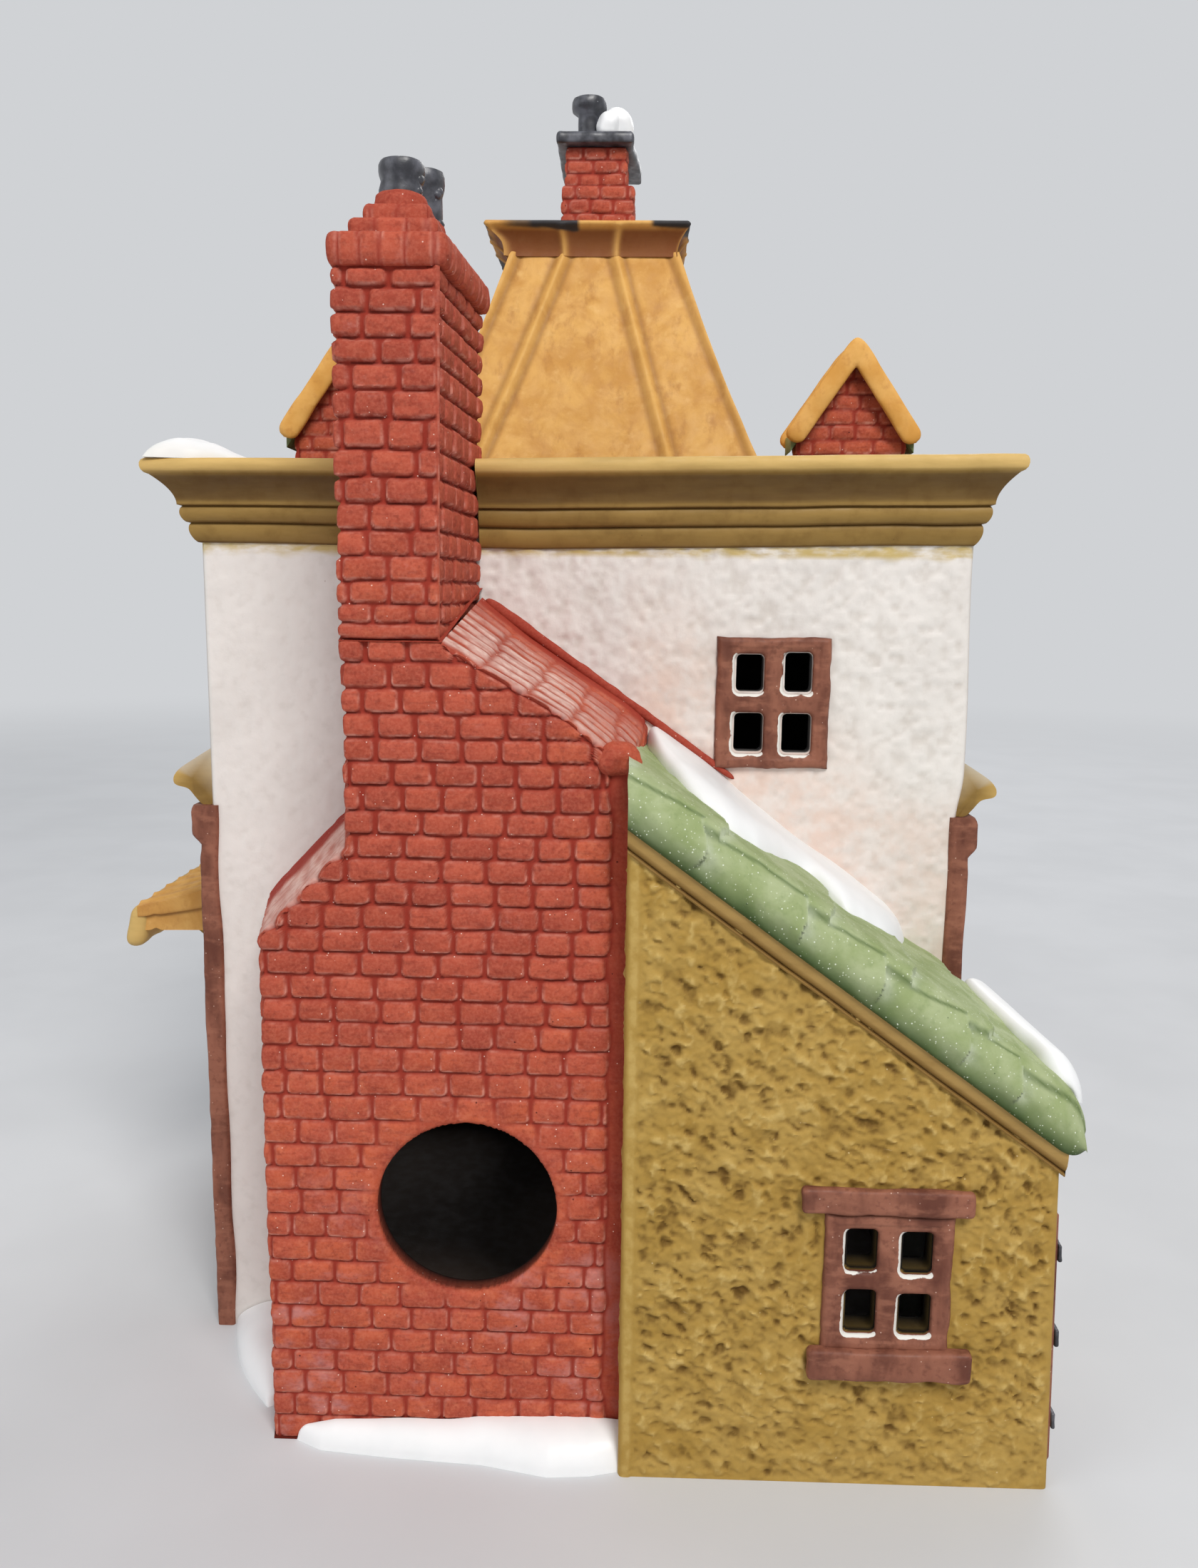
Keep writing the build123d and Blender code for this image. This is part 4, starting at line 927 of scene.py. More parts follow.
# The lamp hole's place and radius, the seam under the stack and the foot of the right shoulder
LAMP = (-17.1, 43.2, 15.0)
SEAM, FOOT = 136.8, 116.6
BREAST = Box("chimney_breast")
BREAST_FRONT, BREAST_DEEP, BREAST_TOP = BREAST.near, BREAST.deep, BREAST.high
BREAST_ROWS, BREAST_COLUMNS = 500, (66, 226, 62)
BACK_RISE, SHOULDER_RISE, BACK_FLARE = 8.4, 20.2, 4.1
BREAST_EDGE, MARGIN = 8.4, 6.1
TUCK, NO_RIM = 0.7, 9.0
SLOPE_LOW, SLOPE_RISE, SLOPE_TOP = 88.3, 15.7, 104
COURSE_JITTER = 0.16 / 3
SHOULDER_JOINTS = np.array([-14.3, -7.1, -0.5, 5.3])


def breast_top(t):
    return SEAM + BACK_RISE * t


def course_lines(low, high, pitch, seed):
    rng = np.random.default_rng(seed)
    lines = [low]
    while lines[-1] < high:
        lines.append(lines[-1] + pitch(lines[-1]) * (1 + rng.uniform(-COURSE_JITTER, COURSE_JITTER)))
    return np.array(lines)


COURSES = course_lines(0, 146, lambda at: lerp(4.12, 3.86, ease(55, 90, at)), 4)


def course_end(z):
    """Rounded ends of the courses up a slope, past the straight line of it, in shares of a course."""
    k = np.clip(np.searchsorted(COURSES, z, "right") - 1, 0, len(COURSES) - 2)
    t = np.clip((z - COURSES[k]) / (COURSES[k + 1] - COURSES[k]), 0, 1)
    return 1.2 - np.sqrt(1 - t ** 2.4) - t


def breast_left(t, z):
    low, mid, high = lerp(-50.6, -58.3, t), lerp(-36.0, -43.7, t), lerp(-36.4, -38.8, t)
    slope = np.clip((z - SLOPE_LOW) / SLOPE_RISE, 0, 1)
    upper = np.clip((z - SLOPE_TOP) / (breast_top(t) - SLOPE_TOP), 0, 1)
    step = 3.0 * course_end(z) * ease(87.5, 89.5, z) * ease(104.6, 102.6, z) * bell(t, 0.06)
    return lerp(lerp(low, mid, slope ** 1.06), high, np.where(z > SLOPE_TOP, upper, 0)) + step


def breast_right(t, z):
    """The right side: upright, then a slope with a rounded foot that spreads towards the wall."""
    flare = 0.7 * BACK_FLARE * t
    rise = (z - FOOT - BACK_RISE * t + flare) / (SHOULDER_RISE + flare)
    rise = np.clip(0.5 * (rise + np.sqrt(rise * rise + 0.003)), 0, 1)
    foot = BREAST_EDGE + BACK_FLARE * t * ease(106, 116, z) + 1.2 * ease(119.0, 116.5, z)
    return lerp(foot, lerp(-20.4, -18.0, t), rise)


def shoulder_edge(x, t):
    """Height of the right shoulder's surface, which swells at its front and sags at the wall."""
    straight = FOOT + BACK_RISE * t + (BREAST_EDGE - x) * SHOULDER_RISE / 28.8
    front = np.interp(x, (-20.4, -14.3, -7.6, -1.0, 3.1, 6.5, 9.0), (0, 0.7, 1.6, 2.4, 1.9, 1.5, 0.4))
    back = np.interp(x, (-18.0, -9.3, -2.2, 8.4), (-1.6, -2.0, -1.4, -0.2))
    return straight, lerp(front, back, t)


def breast_point(s, z):
    """A point s along the breast's outline at height z, with 0 at the front left corner."""
    z_front = np.minimum(z, SEAM)
    wide = breast_right(0.0, z_front) - breast_left(0.0, z_front)
    left = np.hypot(breast_left(1.0, z) - breast_left(0.0, z), BREAST_DEEP)
    t_left, t_right = np.clip(-s / left, 0, 1), np.clip((s - wide) / BREAST_DEEP, 0, 1)
    z_left, z_right = np.minimum(z, breast_top(t_left)), np.minimum(z, breast_top(t_right))
    on_left, on_right = s < 0, s > wide
    t = np.where(on_left, t_left, np.where(on_right, t_right, 0.0))
    x = np.where(on_left, breast_left(t_left, z_left),
                 np.where(on_right, breast_right(t_right, z_right), breast_left(0.0, z_front) + s))
    height = np.where(on_left, z_left, np.where(on_right, z_right, z_front))
    straight, swell = shoulder_edge(x, t)
    height = height + swell * ease(straight - 7, straight - 0.6, height) * ease(-20.6, -19.6, x)
    return np.stack([x, BREAST_FRONT + BREAST_DEEP * t, height], -1)


def shoulder_ridges(x, y, t):
    """Bricks laid down the right shoulder, as ridges along the slope parted by dips: their relief, the pale
    brush marks on them, and the band at the wall."""
    place = x - BACK_FLARE * t + 0.9 * ease(0.4, 0.5, t) + 0.35 * flat_noise(x, y, 2.5, 16)
    dip = bell(np.min(np.abs(place[..., None] - SHOULDER_JOINTS), -1), 0.5)
    rank = np.searchsorted(SHOULDER_JOINTS, place)
    ridge = np.abs(np.sin(np.pi * (y / 3.7 + 0.37 * rank + 0.1 * flat_noise(x, y, 3, 17)))) ** 0.55
    streak = flat_noise(x / 5, y * 1.6, 1.0, 18)
    band = ease(0.86, 0.92, t + 0.02 * line_noise(x, 4, 19))
    height = lerp(0.38 * ridge - 0.25 * dip + 0.09 * streak, 0.28, band)
    shown = ease(0.4, 0.75, ridge + 0.3 * streak) * (1 - 0.8 * dip) * (1 - band)
    shown = shown * ease(0.98, 0.4, t) * lerp(1.0, 0.55, ease(-3, 5, x)) * (0.85 + 0.4 * streak)
    return height - 0.3, np.clip(shown, 0, 1), band


def breast_grid():
    """Distances s along the breast's left side, front and right side, row by row, the front's width in each
    row, x along the unfolded front, and smoothed points."""
    rows = np.linspace(0, BREAST_TOP, BREAST_ROWS)
    on_left, on_front, on_right = BREAST_COLUMNS
    share_left = np.linspace(-1, 0, on_left)[:-1]
    share_front = np.linspace(0, 1, on_front)
    share_right = np.linspace(0, 1, on_right)[1:]
    z_front = np.minimum(rows, SEAM)
    wide = (breast_right(0.0, z_front) - breast_left(0.0, z_front))[:, None]
    left = np.hypot(breast_left(1.0, rows) - breast_left(0.0, rows), BREAST_DEEP)[:, None]
    s = np.concatenate([share_left * left, share_front * wide, wide + share_right * BREAST_DEEP], 1)
    z = np.broadcast_to(rows[:, None], s.shape)
    base = sum(breast_point(s + e, z) for e in np.linspace(-0.7, 0.7, 7)) / 7
    along = breast_left(0.0, np.minimum(z, SEAM)) + s
    return s, wide, along, base


def bricks_rim(s, x, z, on_front):
    """Distance in from where the bricks stop: at the slopes, and at the plain margin beside the lean-to."""
    straight, swell = shoulder_edge(x, 0 * x)
    rim = np.where(x > -20, (straight + swell - z) * 0.82 - 0.6, NO_RIM)
    rim = np.minimum(rim, np.where(z < 121, MARGIN + 0.6 * line_noise(z, 3.9, 9) - x, NO_RIM))
    rim = np.minimum(rim, np.where((z > 87.5) & (z < 104.5), s + 0.1, NO_RIM))
    return np.where(on_front, rim, NO_RIM)


def cut_lamp_hole(points, base):
    """Sets the points at the lamp hole on its circle. Gives the faces in the hole, and its edge points in
    order with their angles."""
    mid = (base[:-1, :-1] + base[1:, 1:]) / 2
    near = np.hypot(mid[..., 0] - LAMP[0], mid[..., 2] - LAMP[1]) < LAMP[2]
    hole = near & (mid[..., 1] < BREAST_FRONT + 0.1)
    edge = rim_points(hole)
    fixed = points[edge]
    turn = np.arctan2(fixed[:, 2] - LAMP[1], fixed[:, 0] - LAMP[0])
    fixed[:, 0] = LAMP[0] + LAMP[2] * np.cos(turn)
    fixed[:, 2] = LAMP[1] + LAMP[2] * np.sin(turn)
    points[edge] = fixed
    order = np.argsort(turn)
    return hole, fixed[order], turn[order]


def build_breast():
    s, wide, along, base = breast_grid()
    out = unit(np.cross(np.gradient(base, axis=1), np.gradient(base, axis=0)))
    x, y, z = base[..., 0], base[..., 1], base[..., 2]
    t = np.clip((y - BREAST_FRONT) / BREAST_DEEP, 0, 1)
    on_front = (s > 0) & (s < wide)
    facing = y < BREAST_FRONT + 1
    rim = bricks_rim(s, x, z, on_front)
    margin = ease(0.0, -0.6, rim) * ease(117, 114, z) * (x > 0)
    bond = Bond(COURSES, -95, 45, lambda at: lerp(6.65, 6.75, ease(60, 85, at)), 7)
    upper = ease(55, 88, z)
    joints = [lerp(low, high, upper) for low, high in ((0.42, 0.6), (0.18, 0.28), (0.6, 0.85))]
    h, values = bond.relief(along, z, *joints, rim)
    face, edge = values["face"], values["edge"]
    # Bricks wiped smooth round the lamp hole
    r = np.hypot(x - LAMP[0], z - LAMP[1])
    worn = ease(LAMP[2] + 4.2 + 1.6 * flat_noise(x, z, 5, 12), LAMP[2] + 0.6, r) * facing
    h = lerp(h, -0.2 + 0.05 * flat_noise(x, z, 2.5, 13), 0.85 * worn)
    face, edge = lerp(face, 1, 0.8 * worn), edge * (1 - worn)
    face = np.maximum(face, 0.5 * margin)
    h = h - 0.6 * (1 - rounded(r - LAMP[2], 0.9)) * facing
    # Left shoulder: a plastered slope
    slope = ease(88.0, 89.3, z) * ease(105.2, 103.6, z) * ease(-0.9, -1.9, s)
    streak = flat_noise(0.28 * y + 0.1 * z, 1.4 * z, 1.6, 14)
    ragged = t + 0.06 * line_noise(z, 3, 15)
    h = lerp(h, 0.1 + 0.12 * streak, slope)
    pale = slope * ease(0.8, 0.58, ragged) * (0.66 + 0.35 * streak)
    line = slope * ease(0.6, 0.8, ragged)
    # Right shoulder
    foot = FOOT + BACK_RISE * t - 0.7 * BACK_FLARE * t
    on_right = ease(0.1, 0.7, s - wide) * ease(foot - 1.5, foot + 0.2, z)
    ridges, brushed, band = shoulder_ridges(x, y, t)
    h = lerp(h, ridges, on_right)
    pale = np.maximum(pale, on_right * brushed)
    line = np.maximum(line, on_right * band * 0.7)
    smooth = np.maximum(slope, on_right)
    values["face"], values["edge"] = lerp(face, 0.8, smooth), edge * (1 - smooth)
    values["shade"] = values["shade"] * (1 - smooth) * (1 - worn)
    values["pale"], values["line"] = np.clip(pale, 0, 1), line
    values["warm"] = np.clip(0.85 - 0.65 * upper + 0.6 * ease(-8, 4, along) * ease(60, 110, z), 0, 1)
    values["faded"] = ease(62, 20, z) * on_front
    points = base + out * h[..., None]
    points[..., 2] = np.maximum(points[..., 2], 0)
    points[:, (0, -1), 1] = TUCK - DEEP
    hole, front, turn = cut_lamp_hole(points, base)
    soup = Soup().grid(points, values, keep=~hole)
    lamp_hollow(soup, front, turn)
    breast_backs(soup)
    wall_strip(soup)
    # A loose brick at the foot of the right shoulder
    block(soup, (7.2, -80.4, 119.0), (7.0, 5.0, 5.4), 2.45, 0.4, wobble=0.42, seed=20, grain=2.4,
          values={"face": 0.85, "tone": 0.5, "warm": 0.7})
    soup.make("chimney_breast_bricks", "brick", "chimney_breast", sharp=60)


# The hollow behind the lamp hole: left and right, bottom and top, and how far back it starts
HOLLOW = ((-46.6, 4.4), (3.0, 84.3), -78.0)


def lamp_hollow(soup, front, turn):
    """The lamp hole's edge, and the hollow behind it, painted darker going back as painted shade."""
    (x0, x1), (z0, z1), deep = HOLLOW
    back = front.copy()
    back[:, 1] = deep
    way = np.stack([np.cos(turn), np.sin(turn)], 1)
    room = np.where(way > 0, (x1 - LAMP[0], z1 - LAMP[1]), (LAMP[0] - x0, LAMP[1] - z0))
    reach = np.min(room / np.maximum(np.abs(way), 1e-6), 1)
    edge_at = np.array(LAMP[:2]) + way * reach[:, None]
    corners = np.array([(x0, z0), (x1, z0), (x1, z1), (x0, z1)])
    for corner in corners:
        edge_at[np.argmin(np.hypot(*(edge_at - corner).T))] = corner
    plate = np.stack([edge_at[:, 0], np.full(len(back), deep), edge_at[:, 1]], 1)
    lip = front.copy()
    lip[:, 1] += REVEAL
    inside = np.repeat([0.0, 0.6, 1.0, 1.0], len(front)).reshape(4, -1)
    values = {"face": 1.0, "warm": 0.6, "tone": 0.5, "inside": inside}
    soup.grid(np.stack([front, lip, back, plate]), values, close=True)
    # A box behind the hole, painted near black as painted shade
    soup.grid(np.array([[(x, y, z) for x, z in corners] for y in (deep, -DEEP)]), {"inside": 1.0}, close=True)


def breast_backs(soup):
    """Bottom, seat and back of the breast, the bottom and back painted darker as painted shade."""
    (x0, x1), (z0, z1), _ = HOLLOW
    t = np.linspace(0, 1, 12)
    y = BREAST_FRONT + BREAST_DEEP * t
    for z, values, flip in ((0 * t, {"inside": 0.6}, False), (breast_top(t), {"face": 0.5}, True)):
        edges = [xyz(side(t, z), y, z) for side in (breast_left, breast_right)]
        soup.grid(np.stack(edges), values, flip=flip)
    for low, high, beside in ((0, z0, False), (z0, z1, True), (z1, BREAST_TOP, False)):
        z = np.linspace(low, high, 20)
        a, b = (xyz(side(np.ones(20), z), TUCK - DEEP, z) for side in (breast_left, breast_right))
        strips = [(a, b)]
        if beside:
            strips = [(a, xyz(x0, a[:, 1], z)), (xyz(x1, b[:, 1], z), b)]
        for p, q in strips:
            soup.grid(np.stack([p, q]), {"inside": 0.6})


def wall_strip(soup):
    """Red edge of the shoulder running on down the wall."""
    start, stop = np.array([-17.4, -50.3, 143.2]), np.array([27.9, -50.2, 111.4])
    way = (stop - start) / np.linalg.norm(stop - start)
    side = np.array([0, -1.0, 0])
    across = np.cross(side, way)
    share = np.linspace(0, 1, 170)
    angle = np.linspace(0, 2 * np.pi, 14, endpoint=False)
    size = 0.85 * np.sqrt(np.clip(1 - np.abs(2 * share - 1) ** 14, 0.0, 1))
    size = size * (1 + 0.2 * flat_noise(share * 56, share, 2.2, 19)) * lerp(1.15, 0.8, share)
    path = start + share[:, None] * (stop - start)
    tube = (path[None] + (np.cos(angle)[:, None] * size)[..., None] * across
            + (np.sin(angle)[:, None] * size * 0.8)[..., None] * side)
    soup.grid(np.concatenate([tube, tube[:1]]), {"face": 0.75, "tone": 0.4, "line": 0.25})


build_breast()


# Upper stack, cap, crown and pots

STACK_LOW, STACK_TOP = Box("chimney_stack").low, Box("chimney_stack").high
CAP_TOP, CROWN_STEP = Box("chimney_cap").high, Box("chimney_crown").tall / 2
POT_BASE = CAP_TOP + 2 * CROWN_STEP
MORTAR_BEDS = ((-27.3, -73.5), (-26.6, -60.5))
# The two steps of the crown: left, right, near and far edges, and foot
CROWN = ((-34.15, -20.6, -80.2, -51.6, CAP_TOP), (-32.3, -22.1, -78.4, -53.2, CAP_TOP + CROWN_STEP))


def stack_outline(step, soften, right=0.0, front=0.0):
    """The stack's outline from the middle of its back, spread to the right and to the front."""
    near = BREAST_FRONT - front
    corners = [(-28.4, -DEEP), (-38.8, -DEEP), (-36.4, near), (-20.4 + right, near), (-18.0 + right, -DEEP)]
    return ring(corners, step, soften)


def build_stack():
    s, xy, out, at = stack_outline(0.3, 0.7)
    arris = at[3]
    heights = (2.45, 2.95, 3.45, 3.8, 3.8, 4.0, 3.9, 4.1, 4.4, 4.05, 4.0, 3.6, 3.6, 3.55, 2.85)
    lines = STACK_LOW + np.concatenate([[0], np.cumsum(heights)]) * (STACK_TOP - STACK_LOW) / sum(heights)
    bond = Bond(lines, 0, at[-1], 6.6, 17, breaks=(arris,))
    bond.rows[0] = np.array([-9.0, arris, at[-1] + 9])

    def relief(ss, zz):
        low = ease(160, 145, zz)
        h, values = bond.relief(ss, zz, lerp(0.62, 0.5, low), lerp(0.3, 0.24, low), lerp(0.95, 0.75, low))
        corner = ease(0.9, 0.3, np.abs(ss - arris))
        values["face"] = lerp(values["face"], 0.85, corner)
        values["edge"] = lerp(values["edge"], 0.5 * ease(0.35, 0.1, np.abs(ss - arris)), corner)
        values["shade"] = values["shade"] * (1 - corner)
        values["warm"] = 0.15 + 0.35 * ease(165, 140, zz)
        leaning = lerp(-0.44, 0.48, (zz - STACK_LOW) / (STACK_TOP - STACK_LOW))
        side = ease(arris - 0.8, arris + 0.8, ss)
        return lerp(h, -0.05, corner) + lerp(0.2, leaning, side), values

    rows = [(-0.5, STACK_LOW)] + [(0, z) for z in np.linspace(STACK_LOW + 0.1, STACK_TOP, 196)]
    soup = tower(Soup(), s, xy, out, rows, relief)
    soup.make("chimney_stack_bricks", "brick", "chimney_stack", sharp=60)


build_stack()


JOINT_DEEP = 0.3


def soldier(pitch, seed):
    """Upright joints round a band."""
    rng = np.random.default_rng(seed)
    joints = np.cumsum(rng.uniform(0.7, 1.3, 60) * pitch)

    def relief(ss, zz):
        d = np.min(np.abs((ss + 0.25 * flat_noise(ss, zz, 1.8, seed))[..., None] - joints), -1)
        face = ease(0.08, 0.5, d)
        tone = 0.5 + 0.5 * lattice(np.searchsorted(joints, ss), 0, 3, seed)
        h = JOINT_DEEP * (face - 1) + 0.12 * flat_noise(ss, zz, 1.6, seed + 1)
        edge = 0.5 * bell(d - 0.4, 0.2)
        return h, {"face": face * 0.8 + 0.2, "edge": edge, "tone": tone, "warm": 0.2 + 0 * ss}
    return relief


def build_cap():
    s, xy, out, _ = stack_outline(0.35, 0.9, 0.9, 0.2)
    low, high = STACK_TOP, CAP_TOP
    rows = smooth_line([(-3.5, low), (-0.5, low), (0.2, low + 0.3), (0.55, low + 1.2), (0.65, low + 2.4),
                        (0.55, high - 1.1), (0.25, high - 0.4), (-0.5, high - 0.05), (-1.4, high),
                        (-4, high)], 44)
    soup = tower(Soup(), s, xy, out, rows, soldier(3.4, 41))
    soup.make("chimney_cap_bricks", "brick", "chimney_cap", sharp=60)


build_cap()


def build_crown():
    soup = Soup()
    for k, (left, right, near, far, low) in enumerate(CROWN):
        corners = [(-28, far), (left, far), (left, near), (right, near), (right, far)]
        s, xy, out, _ = ring(corners, 0.4, 1.1)
        rows = smooth_line([(-3, low), (-0.2, low), (0, low + 0.4), (0, low + 1.5), (-0.3, low + 2.2),
                            (-1.0, low + CROWN_STEP), (-3, low + CROWN_STEP)], 22)
        tower(soup, s, xy, out, rows, soldier(3.6 + k, 43 + k))
    # Mortar that beds the pots
    dome = smooth_line([(4.3, -0.7), (4.2, 0.0), (4.0, 0.8), (3.5, 1.7), (2.6, 2.3)], 12).tolist()
    for x, y in MORTAR_BEDS:
        lathe(soup, (x, y - 0.5, POT_BASE), dome + [(0, 2.3)], wobble=0.4, seed=47,
              values={"face": 0.8, "tone": 0.3, "warm": 0.2})
    soup.make("chimney_crown_bricks", "brick", "chimney_crown", sharp=60)


build_crown()


def pot(name, node, centre, radius, height, seed, bore, flare=1.0):
    soup = Soup()
    r, h = radius, height
    outer = [(0, 0), (r * 0.9, 0), (r * 0.95, 0.4), (r * 0.9, h * 0.4), (r * 0.88, h * 0.62)]
    outer += [(r * 0.97 * flare, h * 0.74), (r * flare, h * 0.82), (r * flare, h * 0.93)]
    outer += [(r * 0.94 * flare, h), (bore * 1.08, h), (bore, h - 0.4), (bore * 0.96, h * 0.35)]
    outer.append((0, h * 0.33))
    lathe(soup, centre, outer, wobble=0.22, seed=seed)
    # Lumps of paint and clay on the far side
    rng = np.random.default_rng(seed)
    for k in range(9):
        a = rng.uniform(-0.6, 1.9)
        p = np.array(centre) + (r * 0.82 * math.cos(a), r * 0.82 * math.sin(a), rng.uniform(0.15, 0.8) * h)
        size = rng.uniform(0.7, 1.2) * r / 3.5
        ball = [(0, -size), (size * 0.7, -size * 0.7), (size, 0), (size * 0.7, size * 0.7), (0, size)]
        lathe(soup, p, ball, 18, 0.1, seed + k)
    soup.make(name, "black_paint", node, sharp=60)


pot("chimney_pot_near_black", "chimney_pot_near", (-27.3, -73.5, POT_BASE), 3.5, 6.9, 51, 2.35)
pot("chimney_pot_far_black", "chimney_pot_far", (-26.0, -60.5, POT_BASE), 3.3, 9.7, 53, 2.15)


# Cornice and string course

CORNICE_HIGH = ROOF - EAVES


def cornice_profile():
    """Two beads, a hollow, a bull-nosed lip and the inner face."""
    line = [(0, 0), (0.2, 0)]
    for low, high, start, end, swell in ((0.05, 3.4, 0.35, 1.25, 0.55), (3.7, 6.45, 1.75, 2.3, 0.5)):
        for t in np.linspace(0, 1, 11):
            line.append((lerp(start, end, t) + swell * math.sin(math.pi * t) ** 0.7, lerp(low, high, t)))
        line.append((end - 0.1, high + 0.12))
    for t in np.linspace(0, 1, 16):
        line.append((2.86 + 2.99 * t ** 1.9, 6.8 + 5.2 * t))
    line += [(5.98, 12.03), (6.4, 12.25), (6.75, 12.7), (6.9, 13.3), (6.88, 13.9), (6.65, 14.45), (6.2, 14.8)]
    line += [(5.5, CORNICE_HIGH), (4, CORNICE_HIGH), (0, CORNICE_HIGH)]
    line += [(-0.1, CORNICE_HIGH - 0.2), (-0.2, 12.6)]
    return np.array(line)


def cornice_sag(p, up):
    """The cornice climbs a little to the right along the rear, and its rear left corner is pulled out."""
    x, rear = p[..., 0], ease(10, -45, p[..., 1])
    top = np.interp(x, (-70, -20, 5, 22, 34, 52, 70), (-0.6, -0.3, 0.1, 0.45, 0.7, 1.0, 1.3))
    bottom = np.interp(x, (-58, -10, 5, 23, 35, 54, 65), (0.15, -0.4, -0.1, 0.2, 0.45, 0.9, 1.0))
    p[..., 2] += rear * lerp(bottom, top, up / CORNICE_HIGH)
    p[..., 0] -= rear * 0.9 * ease(-69, -75, x)


def build_cornice():
    profile = cornice_profile()
    up = profile[:, 1]
    # Painted shade in the grooves and the hollow, and painted highlight along the top of the bull nose
    recess = np.maximum.reduce([bell(up - c, 0.3) for c in (0.05, 3.55, 6.6)])
    recess = np.maximum(recess, 0.85 * ease(6.6, 8.0, up) * ease(12.3, 11.5, up))
    recess = np.maximum(recess, 0.34 * ease(6.8, 6.3, up))
    light = ease(12.1, 12.7, up)
    path = [(-18.4, -DEEP), (HALF, -DEEP), (HALF, DEEP), (-HALF, DEEP), (-HALF, -DEEP), (-38.5, -DEEP)]
    soup = sweep(Soup(), path, EAVES, profile, 1.1, wobble=0.16, seed=61, sag=cornice_sag,
                 values={"recess": recess, "light": light})
    soup.make("cornice_moulding", "olive_trim", "cornice", sharp=50)


build_cornice()


def build_string():
    profile = smooth_line([(0, 0), (2.2, 0), (3.6, 1.2), (5.2, 2.9), (7.4, 3.5), (8.1, 4.0), (8.2, 4.7),
                           (7.9, 5.5), (6.6, 6.8), (3.2, 8.8), (0, 10.5)], 54)
    profile[:, 0] *= 0.88
    # Both edges lap into the wall
    profile[0], profile[-1] = (-0.7, 0), (-0.7, 10.5)
    up = profile[:, 1]
    # Frost on top, painted shade on the underside and painted highlight on the nose
    values = {"frost": 0.6 * ease(5.8, 7.0, up), "recess": 0.5 * ease(3.2, 1.0, up),
              "light": 0.5 * ease(3.0, 4.0, up) * ease(7, 6, up)}
    end = -DEEP + 0.6
    path = [(HALF, end), (HALF, DEEP), (-HALF, DEEP), (-HALF, end)]
    soup = sweep(Soup(), path, 105.0, profile, 1.1, wobble=0.2, seed=63, values=values)
    soup.make("string_course_moulding", "olive_trim", "string_course", sharp=50)


build_string()


POST_LAP, POST_OUT, POST_TOP = 1.0, 2.7, 104.9


def build_post(node, sx, sy, seed):
    """A corner post whose head swells outward. It laps over the corner by an uneven edge."""
    x0, x1 = sx * (HALF - POST_LAP), sx * (HALF + POST_OUT)
    y0, y1 = sy * (DEEP + 0.6), sy * (DEEP - 6.5)
    (xa, xb), (ya, yb) = sorted((x0, x1)), sorted((y0, y1))
    s, xy, out, _ = ring([(xa, ya), (xb, ya), (xb, yb), (xa, yb)], 0.45, 0.55)
    ss, zz = np.meshgrid(s, np.linspace(0, POST_TOP, 170))
    head = 1.3 * ease(97.4, 99.6, zz) * ease(106.5, 103.5, zz)
    head = head - 0.3 * ease(98.4, 97.4, zz) * ease(94, 97.4, zz)
    away = (sx * xy[:, 0] - HALF) / POST_OUT
    bend = 0.22 * line_noise(zz, 9, seed) + 0.12 * noise(xyz(ss, zz, 0.0), 2.5, seed + 1)
    lapped = 0.5 * line_noise(zz, 13, seed + 2) * (away < -0.1)
    push = bend * (away > 0.3) + lapped + head * np.clip(away, 0, 1)
    shape = xyz(xy[:, 0] + sx * push, xy[:, 1] + 0.15 * out[:, 1] * bend, zz)
    soup = closed_tower(Soup(), shape, {"recess": 0 * zz})
    soup.make(node + "_brown", "brown_trim", node, sharp=50)


for node, sx, sy, seed in (("post_rear_left", -1, -1, 71), ("post_rear_right", 1, -1, 72),
                           ("post_front_left", -1, 1, 73), ("post_front_right", 1, 1, 74)):
    build_post(node, sx, sy, seed)


# Windows

